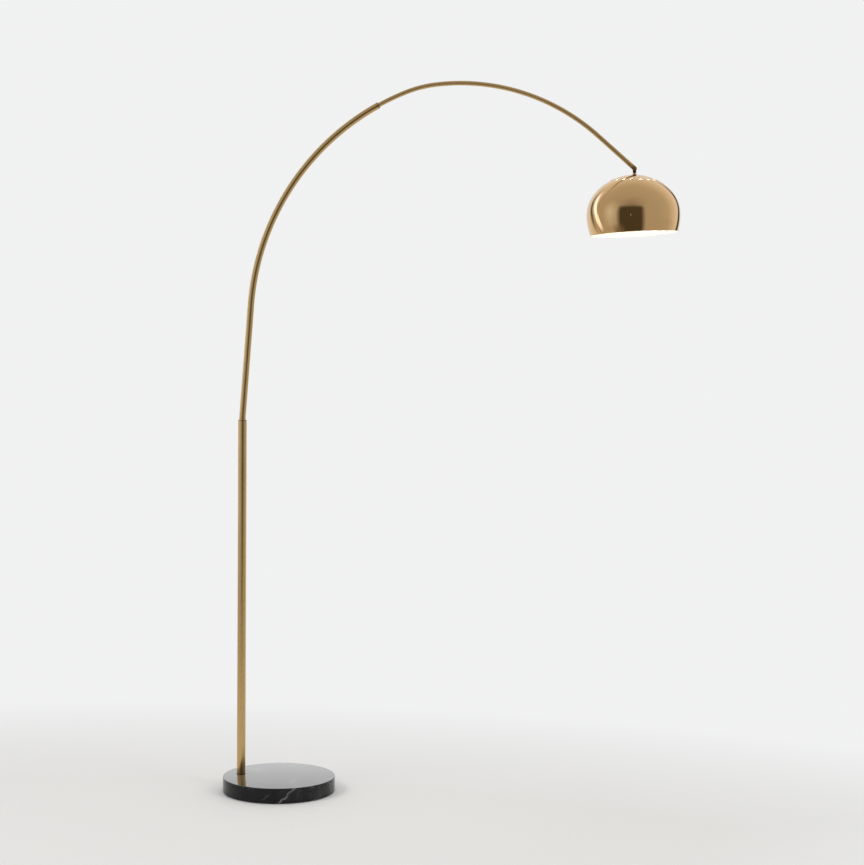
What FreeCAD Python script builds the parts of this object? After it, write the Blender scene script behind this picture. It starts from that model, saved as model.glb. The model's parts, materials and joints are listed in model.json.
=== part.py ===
"""Arc floor lamp: a brass lamp whose long telescoping arc carries a shade over the room.

A marble disc stands on a felt pad and carries an upright post near one edge. The arm turns in
the post's mouth, leans a little and bends over in a wide arc. The thinner boom slides in the
arm along the same arc. A knuckle at its tip carries a perforated cap and, resting on the cap,
a bowl that tilts by hand over the round crown they share.

Frame: the origin is the centre of the pad's lower face, +Z is up and +X points from the base
towards the shade. The arc lies in the XZ plane. All lengths are in millimetres, angles in degrees.
"""
import FreeCAD
import Part
import Sketcher
import math
import os

doc = FreeCAD.newDocument("arc_floor_lamp")

# ---------------------------------------------------------------- driving dimensions
DRIVING_SIZES = [
    # base
    ("base_radius", 165.0), ("base_top", 45.0), ("base_edge", 1.6),
    ("pad_radius", 150.0), ("pad_height", 2.0),
    ("recess_radius", 24.0), ("recess_top", 26.0), ("stud_hole_radius", 6.5),
    ("channel_width", 10.0), ("channel_top", 11.0),
    ("grommet_length", 12.0), ("grommet_bore", 3.1), ("grommet_fit", 0.02), ("inlet_reach", 109.0),
    # post and its foot
    ("post_offset", 115.0), ("post_top", 1092.0), ("post_radius", 12.5), ("post_wall", 1.5),
    ("gasket_height", 1.0), ("gasket_radius", 13.2),
    ("plug_height", 30.0), ("plug_fit", 0.05),
    ("stud_radius", 6.0), ("stud_bore", 3.2), ("stud_bottom", 11.5), ("stud_top", 70.0),
    ("washer_height", 2.5), ("washer_radius", 18.0), ("lock_height", 2.0), ("lock_radius", 10.5),
    ("nut_height", 9.0), ("nut_radius", 11.0), ("thread_fit", 0.05), ("washer_fit", 0.2),
    # arm, its bushes and its arc
    ("arm_radius", 9.5), ("arm_wall", 1.2), ("arm_spigot", 160.0),
    ("arm_rise", 2.0), ("arm_lean", 4.2), ("arm_kink_radius", 200.0), ("arm_straight", 323.0),
    ("arc_radius", 710.0), ("arm_sweep", 57.8),
    ("turning_fit", 0.05), ("bush_length", 24.0), ("flange_height", 1.2),
    ("stop_height", 7.0), ("stop_bore", 5.0), ("axial_gap", 0.3),
    ("grub_radius", 2.0), ("grub_length", 4.5), ("grub_depth", 12.0), ("grub_fit", 0.03),
    # boom
    ("boom_radius", 6.5), ("boom_wall", 1.0), ("boom_tail", 25.0), ("boom_lead_in", 7.0),
    ("boom_bend_radius", 350.0), ("boom_bend", 15.2),
    ("boom_fall_radius", 605.0), ("boom_fall", 47.5), ("boom_straight", 139.0),
    ("sleeve_sweep", 1.8), ("sleeve_fit", 0.02), ("end_bush_sweep", 1.8), ("end_flange_sweep", 0.1),
    # knuckle
    ("knuckle_radius", 6.5), ("fork_root", 14.0), ("fork_plug", 26.0), ("wire_way", 1.9),
    ("cheek_inside", 3.6), ("cheek_outside", 6.9), ("tongue_half", 3.0), ("tongue_radius", 6.0),
    ("pivot_radius", 1.5), ("pivot_fit", 0.05), ("pivot_head", 2.9), ("pivot_head_height", 1.2),
    ("side_play", 0.1), ("screw_tip_gap", 0.3), ("cheek_round", 0.6),
    ("barrel_top", 7.0), ("barrel_bottom", 10.8), ("barrel_radius", 5.6), ("barrel_tip", 5.0),
    ("socket_top", 7.8), ("nipple_radius", 4.0), ("nipple_bore", 2.5), ("nipple_end", 42.0),
    # shade: the cap and the bowl share the crown sphere, whose centre hangs below the pivot
    ("crown_drop", 158.0), ("crown_radius", 142.0), ("shade_wall", 0.8), ("crown_gap", 0.3),
    ("bowl_mouth", 82.0), ("crown_edge", 112.5), ("shoulder_radius", 96.0),
    ("skirt_radius", 175.0), ("rim_drop", 26.0), ("bowl_rest_tilt", -3.4),
    ("cap_edge", 101.5), ("cap_hole", 4.2), ("vent_ring", 68.0), ("vent_radius", 5.7),
    ("vent_count", 18.0), ("vent_turn", 7.0),
    ("collar_top", 13.5), ("collar_radius", 7.5), ("collar_tip", 5.4), ("collar_lip", 1.0),
    ("collar_seat", 0.06), ("washer_seat", 0.45), ("stem_fit", 0.1),
    # lampholder and bulb, measured downwards from the pivot
    ("cap_nut_radius", 7.5), ("cap_nut_height", 4.0), ("cap_washer_radius", 10.0),
    ("cap_washer_height", 1.2),
    ("holder_top", 30.0), ("holder_neck", 36.0), ("holder_split", 50.0), ("holder_bottom", 88.0),
    ("holder_radius", 19.5), ("holder_wall", 2.5), ("holder_neck_radius", 9.0),
    ("holder_flare", 4.0), ("holder_roof", 6.0), ("insert_bore", 2.0), ("insert_fit", 0.05),
    ("contact_radius", 5.0), ("contact_height", 1.5),
    ("terminal_reach", 9.0), ("terminal_radius", 2.6), ("terminal_height", 2.4),
    ("insert_top", 52.0), ("insert_bottom", 60.0), ("shell_radius", 13.75), ("shell_wall", 0.4),
    ("shell_bottom", 84.0), ("ring_top", 70.0), ("ring_height", 6.0), ("ring_radius", 22.5),
    ("bulb_cap_radius", 13.1), ("bulb_cap_top", 65.0), ("bulb_cap_bottom", 88.0),
    ("bulb_cap_wall", 0.5), ("bulb_radius", 30.0), ("bulb_centre", 138.0), ("bulb_wall", 0.8),
    ("bulb_tip", 61.7), ("tip_radius", 4.9), ("tip_flange", 7.0), ("glass_fit", 0.1),
    ("glass_neck_gap", 4.0), ("glass_tangent", 60.0),
    # leads
    ("lead_radius", 2.2), ("lead_floor", 6.5), ("lead_turn", 8.0), ("arm_lead_radius", 1.7),
    ("lead_gap", 4.0), ("lead_end_gap", 2.0), ("inlet_gap", 0.5), ("tongue_gap", 1.5),
    ("lead_rise", 3.0),
]

sheet = doc.addObject("Spreadsheet::Sheet", "dims")
for row, (alias, size) in enumerate(DRIVING_SIZES, start=1):
    sheet.set("A%d" % row, alias.replace("_", " "))
    sheet.set("B%d" % row, "%g" % size)
    sheet.setAlias("B%d" % row, alias)
doc.recompute()


class Size:
    """A length or an angle that keeps its number and its spreadsheet formula together."""

    def __init__(self, number, formula):
        self.number = number
        self.formula = formula

    def __add__(self, other):
        other = as_size(other)
        return Size(self.number + other.number, "(%s + %s)" % (self.formula, other.formula))

    def __sub__(self, other):
        other = as_size(other)
        return Size(self.number - other.number, "(%s - %s)" % (self.formula, other.formula))

    def __mul__(self, other):
        other = as_size(other)
        return Size(self.number * other.number, "(%s * %s)" % (self.formula, other.formula))

    def __truediv__(self, other):
        other = as_size(other)
        return Size(self.number / other.number, "(%s / %s)" % (self.formula, other.formula))

    def __neg__(self):
        return Size(-self.number, "(0 - %s)" % self.formula)


def as_size(value):
    if isinstance(value, Size):
        return value
    return Size(float(value), "%g" % value)


def dim(alias):
    """A driving dimension, read from the spreadsheet."""
    return Size(float(sheet.get(alias)), "dims." + alias)


def sine(angle):
    return Size(math.sin(math.radians(angle.number)), "sin(%s)" % angle.formula)


def cosine(angle):
    return Size(math.cos(math.radians(angle.number)), "cos(%s)" % angle.formula)


def root_of_difference(longer, shorter):
    """The remaining side of a right triangle."""
    number = math.sqrt(longer.number ** 2 - shorter.number ** 2)
    return Size(number, "sqrt(%s ^ 2 - %s ^ 2)" % (longer.formula, shorter.formula))


ZERO = as_size(0.0)
sub_parts = []


def bind(thing, prop, size):
    """Ties one property of an object to a spreadsheet formula."""
    thing.setExpression(prop, as_size(size).formula)


def place(thing, across=ZERO, away=ZERO, up=ZERO, axis=(0, 1, 0), angle=None):
    """Moves an object to a point of the lamp's frame and may turn it about one axis there."""
    if angle is not None:
        turn = FreeCAD.Rotation(FreeCAD.Vector(*axis), angle.number)
        thing.Placement = FreeCAD.Placement(FreeCAD.Vector(0, 0, 0), turn)
        bind(thing, "Placement.Rotation.Angle", angle)
    bind(thing, "Placement.Base.x", across)
    bind(thing, "Placement.Base.y", away)
    bind(thing, "Placement.Base.z", up)


def sub_part(thing, label):
    """Registers one finished piece of the lamp under its node name."""
    thing.Label = label
    sub_parts.append(thing)
    return thing


# ---------------------------------------------------------------- sketch helpers
def new_body(label):
    body = doc.addObject("PartDesign::Body", label)
    return sub_part(body, label)


def new_sketch(body, name, role):
    """A sketch on one of the body's own origin planes."""
    plane = [item for item in body.Origin.OriginFeatures if item.Role == role][0]
    sketch = body.newObject("Sketcher::SketchObject", body.Label + "_" + name)
    sketch.AttachmentSupport = (plane, [""])
    sketch.MapMode = "FlatFace"
    return sketch


def constrain(sketch, size, kind, *references):
    """Adds one dimension to a sketch and ties it to its formula."""
    number = size.number
    if kind == "Angle":
        number = math.radians(number)
    index = sketch.addConstraint(Sketcher.Constraint(kind, *references, number))
    sketch.renameConstraint(index, "size_%d" % index)
    bind(sketch, ".Constraints.size_%d" % index, size)


def pin_point(sketch, edge, point, across, up):
    """Fixes one end of an edge relative to the sketch's origin."""
    for kind, size in (("DistanceX", across), ("DistanceY", up)):
        if abs(size.number) < 1e-9:
            axis = -2 if kind == "DistanceX" else -1
            sketch.addConstraint(Sketcher.Constraint("PointOnObject", edge, point, axis))
        else:
            constrain(sketch, size, kind, -1, 1, edge, point)


def polygon_sketch(body, name, role, corners):
    """A closed outline of straight edges through the given corners."""
    sketch = new_sketch(body, name, role)
    corners = [(as_size(across), as_size(up)) for across, up in corners]
    points = [FreeCAD.Vector(across.number, up.number, 0) for across, up in corners]
    for start, end in zip(points, points[1:] + points[:1]):
        sketch.addGeometry(Part.LineSegment(start, end), False)
    for index in range(len(points)):
        following = (index + 1) % len(points)
        sketch.addConstraint(Sketcher.Constraint("Coincident", index, 2, following, 1))
    for index, (across, up) in enumerate(corners):
        pin_point(sketch, index, 1, across, up)
    return sketch


def circle_sketch(body, name, role, radii, across=ZERO, up=ZERO):
    """One circle, or two that share a centre."""
    sketch = new_sketch(body, name, role)
    centre = FreeCAD.Vector(across.number, up.number, 0)
    for index, radius in enumerate(radii):
        circle = Part.Circle(centre, FreeCAD.Vector(0, 0, 1), radius.number)
        sketch.addGeometry(circle, False)
        pin_point(sketch, index, 3, across, up)
        constrain(sketch, radius, "Radius", index)
    return sketch


def revolve(body, sketch):
    """Turns an outline right round the sketch's vertical axis."""
    turned = body.newObject("PartDesign::Revolution", body.Label + "_turned")
    turned.Profile = sketch
    turned.ReferenceAxis = (sketch, ["V_Axis"])
    turned.Angle = 360.0
    return turned


def turned_part(label, corners, across=ZERO, away=ZERO, up=ZERO):
    """A lathe piece: the outline's corners are (radius, height) pairs."""
    body = new_body(label)
    revolve(body, polygon_sketch(body, "outline", "XZ_Plane", corners))
    place(body, across, away, up)
    return body


def ring_part(label, inside, outside, bottom, top, across=ZERO, up=ZERO):
    """A plain ring, washer or sleeve about a vertical axis."""
    corners = [(inside, bottom), (outside, bottom), (outside, top), (inside, top)]
    return turned_part(label, corners, across=across, up=up)


def pocket(body, sketch, depth=None, reverse=False):
    """Cuts a sketch into its body, right through where no depth is given."""
    cut_feature = body.newObject("PartDesign::Pocket", sketch.Label + "_cut")
    cut_feature.Profile = sketch
    if depth is None:
        cut_feature.Type = "ThroughAll"
        cut_feature.Midplane = True
    else:
        cut_feature.Type = "Length"
        cut_feature.Reversed = reverse
        bind(cut_feature, "Length", depth)
    return cut_feature


# ---------------------------------------------------------------- Part helpers
def cylinder(name, radius, height, across=ZERO, away=ZERO, up=ZERO, axis=None):
    """A cylinder that rises along +Z, or along +X or +Y where an axis is named."""
    thing = doc.addObject("Part::Cylinder", name)
    bind(thing, "Radius", radius)
    bind(thing, "Height", height)
    if axis == "X":
        place(thing, across, away, up, axis=(0, 1, 0), angle=as_size(90.0))
    elif axis == "Y":
        place(thing, across, away, up, axis=(-1, 0, 0), angle=as_size(90.0))
    else:
        place(thing, across, away, up)
    return thing


def box(name, length, width, height, across, away, up):
    thing = doc.addObject("Part::Box", name)
    bind(thing, "Length", length)
    bind(thing, "Width", width)
    bind(thing, "Height", height)
    place(thing, across, away, up)
    return thing


def cone(name, lower_radius, upper_radius, height, up):
    thing = doc.addObject("Part::Cone", name)
    bind(thing, "Radius1", lower_radius)
    bind(thing, "Radius2", upper_radius)
    bind(thing, "Height", height)
    place(thing, up=up)
    return thing


def sphere(name, radius, up):
    thing = doc.addObject("Part::Sphere", name)
    bind(thing, "Radius", radius)
    place(thing, up=up)
    return thing


def fuse(name, pieces):
    thing = doc.addObject("Part::MultiFuse", name)
    thing.Shapes = pieces
    return thing


def cut(name, base, tool):
    thing = doc.addObject("Part::Cut", name)
    thing.Base = base
    thing.Tool = tool
    return thing


def hex_nut(label, radius, bore, height, across, up):
    """A hexagonal nut with its lower face at the given height."""
    blank = doc.addObject("Part::Prism", label + "_blank")
    blank.Polygon = 6
    bind(blank, "Circumradius", radius)
    bind(blank, "Height", height)
    hole = cylinder(label + "_bore", bore, height + 2.0, up=as_size(-1.0))
    nut = sub_part(cut(label, blank, hole), label)
    place(nut, across, ZERO, up)
    return nut


# ---------------------------------------------------------------- tubes that follow the arc
def chain_sketch(body, name, role, start, heading, pieces, centre=None):
    """An open path of tangent lines and arcs.

    A line is ("line", length). An arc is ("arc", radius, sweep) and turns to the right, or
    ("left", radius, sweep). The heading is measured from the sketch's +X axis. Where the first
    piece is an arc, its centre is given and is fixed in place of the first direction.
    """
    sketch = new_sketch(body, name, role)
    point = FreeCAD.Vector(start[0].number, start[1].number, 0)
    angle = heading.number
    joins = []
    for index, piece in enumerate(pieces):
        along = FreeCAD.Vector(math.cos(math.radians(angle)), math.sin(math.radians(angle)), 0)
        if piece[0] == "line":
            end = point + along * piece[1].number
            sketch.addGeometry(Part.LineSegment(point, end), False)
            joins.append((1, 2))
        else:
            radius = piece[1].number
            sweep = piece[2].number
            side = -1.0 if piece[0] == "arc" else 1.0
            middle = point + FreeCAD.Vector(-along.y, along.x, 0) * (radius * side)
            circle = Part.Circle(middle, FreeCAD.Vector(0, 0, 1), radius)
            first = math.radians(angle - 90.0 * side)
            last = first + side * math.radians(sweep)
            sketch.addGeometry(Part.ArcOfCircle(circle, min(first, last), max(first, last)), False)
            joins.append((2, 1) if side < 0 else (1, 2))
            angle += side * sweep
            end = middle + FreeCAD.Vector(math.cos(last), math.sin(last), 0) * radius
        if index:
            before = joins[index - 1][1]
            after = joins[index][0]
            sketch.addConstraint(Sketcher.Constraint("Tangent", index - 1, before, index, after))
        point = end
    pin_point(sketch, 0, joins[0][0], *start)
    if centre is not None:
        pin_point(sketch, 0, 3, *centre)
    elif pieces[0][0] == "line":
        constrain(sketch, heading, "Angle", 0)
    for index, piece in enumerate(pieces):
        if piece[0] == "line":
            constrain(sketch, piece[1], "Distance", index)
        else:
            if index or centre is None:
                constrain(sketch, piece[1], "Radius", index)
            constrain(sketch, piece[2], "Angle", index)
    return sketch


def lift_section(section, distance):
    """Moves a section along its plane's normal to where its path begins."""
    offset = FreeCAD.Vector(0, 0, distance.number)
    section.AttachmentOffset = FreeCAD.Placement(offset, FreeCAD.Rotation())
    bind(section, "AttachmentOffset.Base.z", distance)


def piped_part(body, section, path):
    """Sweeps a round section, which may be hollow, along a path of the same body."""
    pipe = body.newObject("PartDesign::AdditivePipe", body.Label + "_pipe")
    pipe.Profile = section
    pipe.Spine = path
    return pipe


# ---------------------------------------------------------------- places along the arc
post_x = -dim("post_offset")
kink_up = dim("post_top") + dim("arm_rise")
lean = dim("arm_lean")
straight_x = post_x + dim("arm_kink_radius") * (as_size(1.0) - cosine(lean))
straight_z = kink_up + dim("arm_kink_radius") * sine(lean)
arc_start_x = straight_x + dim("arm_straight") * sine(lean)
arc_start_z = straight_z + dim("arm_straight") * cosine(lean)
centre_x = arc_start_x + dim("arc_radius") * cosine(lean)
centre_z = arc_start_z - dim("arc_radius") * sine(lean)
# angles seen from the arc's centre, from +X upwards; the arm's mouth looks along the tangent
mouth_angle = as_size(180.0) - lean - dim("arm_sweep")
tail_angle = mouth_angle + dim("boom_tail")
bend_angle = mouth_angle - dim("boom_lead_in")
# the boom's bends follow one another, each turning the heading down by its own sweep
bend_heading = bend_angle - 90.0
fall_heading = bend_heading - dim("boom_bend")
tip_heading = fall_heading - dim("boom_fall")
bend_end_x = (dim("arc_radius") * cosine(bend_angle)
              + dim("boom_bend_radius") * (sine(bend_heading) - sine(fall_heading)))
bend_end_z = (dim("arc_radius") * sine(bend_angle)
              + dim("boom_bend_radius") * (cosine(fall_heading) - cosine(bend_heading)))
fall_end_x = bend_end_x + dim("boom_fall_radius") * (sine(fall_heading) - sine(tip_heading))
fall_end_z = bend_end_z + dim("boom_fall_radius") * (cosine(tip_heading) - cosine(fall_heading))
pivot_x = centre_x + fall_end_x + dim("boom_straight") * cosine(tip_heading)
pivot_z = centre_z + fall_end_z + dim("boom_straight") * sine(tip_heading)
crown_z = pivot_z - dim("crown_drop")


# ---------------------------------------------------------------- base
def make_base_stone():
    """Marble disc with a stud hole, a recess for the nut and a cable channel underneath."""
    body = new_body("base_stone")
    radius, top, edge = dim("base_radius"), dim("base_top"), dim("base_edge")
    under = dim("pad_height")
    revolve(body, polygon_sketch(body, "outline", "XZ_Plane", [
        (ZERO, under), (radius - edge, under), (radius, under + edge),
        (radius, top - edge), (radius - edge, top), (ZERO, top)]))
    hole = circle_sketch(body, "stud_hole", "XY_Plane", [dim("stud_hole_radius")], across=post_x)
    pocket(body, hole)
    recess = circle_sketch(body, "nut_recess", "XY_Plane", [dim("recess_radius")], across=post_x)
    pocket(body, recess, dim("recess_top"), reverse=True)
    half = dim("channel_width") / 2.0
    channel = polygon_sketch(body, "cable_channel", "XY_Plane", [
        (post_x - half, ZERO), (post_x + half, ZERO),
        (post_x + half, radius), (post_x - half, radius)])
    pocket(body, channel, dim("channel_top"), reverse=True)


def make_base_pad():
    radius, height = dim("pad_radius"), dim("pad_height")
    turned_part("base_pad", [(ZERO, ZERO), (radius, ZERO), (radius, height), (ZERO, height)])


def make_cable_grommet():
    """Rubber block that lines the channel's mouth at the back of the base."""
    body = new_body("cable_grommet")
    fit = dim("grommet_fit")
    half = dim("channel_width") / 2.0 - fit
    low, high = dim("pad_height") + fit, dim("channel_top") - fit
    block = polygon_sketch(body, "block", "XZ_Plane", [
        (-half, low), (half, low), (half, high), (-half, high)])
    pad = body.newObject("PartDesign::Pad", "grommet_block")
    pad.Profile = block
    bind(pad, "Length", dim("grommet_length"))
    bore = circle_sketch(body, "bore", "XZ_Plane", [dim("grommet_bore")], up=dim("lead_floor"))
    pocket(body, bore)
    place(body, post_x, dim("inlet_reach"), ZERO)


def make_foot_fittings():
    """What clamps the post to the stone, from the gasket down to the nut."""
    gasket_top = dim("base_top") + dim("gasket_height")
    ring_part("foot_gasket", dim("stud_hole_radius"), dim("gasket_radius"),
              dim("base_top"), gasket_top, post_x)
    inside = dim("post_radius") - dim("post_wall") - dim("plug_fit")
    ring_part("post_foot_plug", dim("stud_radius") + dim("thread_fit"), inside,
              gasket_top, gasket_top + dim("plug_height"), post_x)
    ring_part("base_stud", dim("stud_bore"), dim("stud_radius"),
              dim("stud_bottom"), dim("stud_top"), post_x)
    loose = dim("stud_radius") + dim("washer_fit")
    washer_under = dim("recess_top") - dim("washer_height")
    ring_part("base_washer", loose, dim("washer_radius"), washer_under, dim("recess_top"), post_x)
    lock_under = washer_under - dim("lock_height")
    ring_part("base_lock_washer", loose, dim("lock_radius"), lock_under, washer_under, post_x)
    hex_nut("base_nut", dim("nut_radius"), dim("stud_radius") + dim("thread_fit"),
            dim("nut_height"), post_x, lock_under - dim("nut_height"))


# ---------------------------------------------------------------- post
def make_post_tube():
    outer, wall = dim("post_radius"), dim("post_wall")
    foot = dim("base_top") + dim("gasket_height")
    tube = cylinder("post_outside", outer, dim("post_top") - foot)
    bore = cylinder("post_inside", outer - wall, dim("post_top"), up=as_size(-1.0))
    hollow = cut("post_hollow", tube, bore)
    screw_up = dim("post_top") - foot - dim("grub_depth")
    screw_hole = cylinder("post_screw_hole", dim("grub_radius"), outer + 2.0, up=screw_up, axis="Y")
    post = sub_part(cut("post_tube", hollow, screw_hole), "post_tube")
    place(post, post_x, ZERO, foot)


def make_post_bushes():
    """The two nylon bushes that the arm turns in, the ring it stands on and its lock screw."""
    inside = dim("arm_radius") + dim("turning_fit")
    outside = dim("post_radius") - dim("post_wall") - dim("plug_fit")
    top, flange = dim("post_top"), dim("flange_height")
    bush = new_body("post_top_bush")
    revolve(bush, polygon_sketch(bush, "outline", "XZ_Plane", [
        (inside, top - dim("bush_length")), (outside, top - dim("bush_length")), (outside, top),
        (dim("post_radius"), top), (dim("post_radius"), top + flange), (inside, top + flange)]))
    screw_up = top - dim("grub_depth")
    screw_hole = circle_sketch(bush, "screw_hole", "XZ_Plane", [dim("grub_radius")], up=screw_up)
    pocket(bush, screw_hole, dim("post_radius") * 2.0)
    place(bush, post_x)
    arm_foot = top - dim("arm_spigot")
    ring_part("post_lower_bush", inside, outside, arm_foot, arm_foot + dim("bush_length"), post_x)
    stop_top = arm_foot - dim("axial_gap")
    ring_part("post_stop_ring", dim("stop_bore"), outside,
              stop_top - dim("stop_height"), stop_top, post_x)
    screw = cylinder("post_set_screw", dim("grub_radius") - dim("grub_fit"), dim("grub_length"),
                     post_x, inside + dim("turning_fit"), screw_up, axis="Y")
    sub_part(screw, "post_set_screw")


def make_post_lead():
    """The lead from the cable inlet, along the channel, up the stud and through the post."""
    body = new_body("post_lead")
    turn = dim("lead_turn")
    reach = dim("inlet_reach") - dim("grommet_length") - dim("inlet_gap")
    floor = dim("lead_floor")
    stop = dim("post_top") - dim("arm_spigot") - dim("stop_height") - dim("lead_gap")
    path = chain_sketch(body, "path", "YZ_Plane", (reach, floor), as_size(180.0), [
        ("line", reach - turn), ("arc", turn, as_size(90.0)), ("line", stop - floor - turn)])
    section = circle_sketch(body, "section", "XZ_Plane", [dim("lead_radius")], up=floor)
    lift_section(section, -reach)
    piped_part(body, section, path)
    place(body, post_x)


# ---------------------------------------------------------------- arm
def make_arm_tube():
    """Spigot, slight lean and wide arc in one bent tube."""
    body = new_body("arm_tube")
    outer = dim("arm_radius")
    foot = dim("post_top") - dim("arm_spigot")
    path = chain_sketch(body, "path", "XZ_Plane", (ZERO, foot), as_size(90.0), [
        ("line", kink_up - foot), ("arc", dim("arm_kink_radius"), lean),
        ("line", dim("arm_straight")), ("arc", dim("arc_radius"), dim("arm_sweep"))])
    section = circle_sketch(body, "section", "XY_Plane", [outer, outer - dim("arm_wall")])
    lift_section(section, foot)
    piped_part(body, section, path)
    place(body, post_x)


def arc_ring(label, inside, outside, first_angle, last_angle):
    """A sleeve that follows the arc, between two angles seen from the arc's centre."""
    outer = doc.addObject("Part::Torus", label + "_outside")
    inner = doc.addObject("Part::Torus", label + "_inside")
    for ring, section in ((outer, outside), (inner, inside)):
        bind(ring, "Radius1", dim("arc_radius"))
        bind(ring, "Radius2", section)
        bind(ring, "Angle3", last_angle - first_angle)
    sleeve = cut(label + "_sleeve", outer, inner)
    upright = FreeCAD.Rotation(FreeCAD.Vector(1, 0, 0), 90)
    swing = FreeCAD.Rotation(FreeCAD.Vector(0, 1, 0), -first_angle.number)
    sleeve.Placement = FreeCAD.Placement(FreeCAD.Vector(0, 0, 0), swing.multiply(upright))
    bind(sleeve, "Placement.Base.x", centre_x)
    bind(sleeve, "Placement.Base.z", centre_z)
    return sleeve


def make_arm_end_bush():
    """Black nylon bush in the arm's mouth: a thin flange outside and a sleeve inside."""
    inside = dim("boom_radius") + dim("turning_fit")
    outside = dim("arm_radius") - dim("arm_wall") - dim("plug_fit")
    sleeve = arc_ring("arm_end_bush_body", inside, outside,
                      mouth_angle, mouth_angle + dim("end_bush_sweep"))
    flange = arc_ring("arm_end_bush_flange", inside, dim("arm_radius"),
                      mouth_angle - dim("end_flange_sweep"), mouth_angle)
    sub_part(fuse("arm_end_bush", [sleeve, flange]), "arm_end_bush")


def make_arm_lead():
    body = new_body("arm_lead")
    foot = dim("post_top") - dim("arm_spigot") + dim("lead_end_gap")
    reach = dim("arm_sweep") - dim("boom_tail") - dim("boom_lead_in") - dim("lead_end_gap")
    path = chain_sketch(body, "path", "XZ_Plane", (ZERO, foot), as_size(90.0), [
        ("line", kink_up - foot), ("arc", dim("arm_kink_radius"), lean),
        ("line", dim("arm_straight")), ("arc", dim("arc_radius"), reach)])
    section = circle_sketch(body, "section", "XY_Plane", [dim("arm_lead_radius")])
    lift_section(section, foot)
    piped_part(body, section, path)
    place(body, post_x)


# ---------------------------------------------------------------- boom
def boom_pipe(label, radii, last_length):
    """A pipe along the boom's own line, from its hidden tail to near the knuckle."""
    body = new_body(label)
    radius = dim("arc_radius")
    start = (radius * cosine(tail_angle), radius * sine(tail_angle))
    path = chain_sketch(body, "path", "XZ_Plane", start, tail_angle - 90.0, [
        ("arc", radius, dim("boom_tail") + dim("boom_lead_in")),
        ("arc", dim("boom_bend_radius"), dim("boom_bend")),
        ("arc", dim("boom_fall_radius"), dim("boom_fall")),
        ("line", last_length)], centre=(ZERO, ZERO))
    section = circle_sketch(body, "section", "YZ_Plane", radii, up=radius)
    tilt = FreeCAD.Rotation(FreeCAD.Vector(0, 1, 0), 90.0 - tail_angle.number)
    section.MapMode = "Deactivated"
    turn = tilt.multiply(section.Placement.Rotation)
    section.Placement = FreeCAD.Placement(FreeCAD.Vector(0, 0, 0), turn)
    piped_part(body, section, path)
    place(body, centre_x, ZERO, centre_z)


def make_boom():
    """The boom's tube, the nylon sleeve that guides its tail in the arm, and its lead."""
    outer = dim("boom_radius")
    straight = dim("boom_straight")
    boom_pipe("boom_tube", [outer, outer - dim("boom_wall")], straight - dim("fork_root"))
    outside = dim("arm_radius") - dim("arm_wall") - dim("turning_fit")
    sleeve = arc_ring("boom_tail_sleeve", outer + dim("sleeve_fit"), outside,
                      tail_angle - dim("sleeve_sweep"), tail_angle)
    sub_part(sleeve, "boom_tail_sleeve")
    lead_end = straight - dim("tongue_radius") - dim("tongue_gap")
    boom_pipe("boom_lead", [dim("arm_lead_radius")], lead_end)


# ---------------------------------------------------------------- knuckle
def make_knuckle_fork():
    """Plug, root and two round cheeks; local +X runs along the boom's tip towards the pivot."""
    radius, root, plug = dim("knuckle_radius"), dim("fork_root"), dim("fork_plug")
    inside, outside = dim("cheek_inside"), dim("cheek_outside")
    plug_radius = dim("boom_radius") - dim("boom_wall") - dim("sleeve_fit")
    plug_piece = cylinder("fork_plug", plug_radius, plug + 1.0, across=-root - plug, axis="X")
    root_piece = cylinder("fork_root", radius, root - radius - 0.5, across=-root, axis="X")
    strap = box("fork_strap", root - 1.0, outside * 2.0, radius * 2.0, -root + 1.0, -outside, -radius)
    eye = cylinder("fork_eye", radius, outside * 2.0, away=-outside, axis="Y")
    cheeks = fuse("fork_cheeks", [strap, eye])
    sides = cylinder("fork_sides", outside + dim("cheek_round"), root + radius, across=-root, axis="X")
    rounded = doc.addObject("Part::MultiCommon", "fork_rounded")
    rounded.Shapes = [cheeks, sides]
    slot = box("fork_slot", root + radius, inside * 2.0, radius * 3.0,
               -radius - 0.5, -inside, radius * -1.5)
    eared = cut("fork_eared", rounded, slot)
    solid = fuse("fork_solid", [plug_piece, root_piece, eared])
    way = cylinder("fork_wire_way", dim("wire_way"), root + plug + 2.0,
                   across=-root - plug - 1.0, axis="X")
    holes = cylinder("fork_pivot_hole", dim("pivot_radius") + dim("pivot_fit"),
                     outside * 2.0 + 2.0, away=-outside - 1.0, axis="Y")
    fork = cut("knuckle_fork", solid, fuse("fork_bores", [way, holes]))
    sub_part(fork, "knuckle_fork")
    place(fork, pivot_x, ZERO, pivot_z, angle=-tip_heading)


def make_knuckle_tongue():
    """The half of the knuckle that carries the shade: a round eye above a tapered barrel."""
    half, radius = dim("tongue_half"), dim("tongue_radius")
    top, bottom = dim("barrel_top"), dim("barrel_bottom")
    eye = cylinder("tongue_eye", radius, half * 2.0, away=-half, axis="Y")
    neck = box("tongue_neck", radius * 1.6, half * 2.0, top + 0.5, radius * -0.8, -half, -top - 0.5)
    barrel = cone("tongue_barrel", dim("barrel_tip"), dim("barrel_radius"), bottom - top, -bottom)
    solid = fuse("tongue_solid", [eye, neck, barrel])
    way = cylinder("tongue_wire_way", dim("wire_way"), radius + bottom + 2.0, up=-bottom - 1.0)
    socket = cylinder("tongue_socket", dim("nipple_radius") + dim("turning_fit"),
                      bottom - dim("socket_top") + 1.0, up=-bottom - 1.0)
    pivot = cylinder("tongue_pivot_hole", dim("pivot_radius"), half * 2.0 + 2.0,
                     away=-half - 1.0, axis="Y")
    tongue = cut("knuckle_tongue", solid, fuse("tongue_bores", [way, socket, pivot]))
    sub_part(tongue, "knuckle_tongue")
    place(tongue, pivot_x, ZERO, pivot_z)


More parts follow.
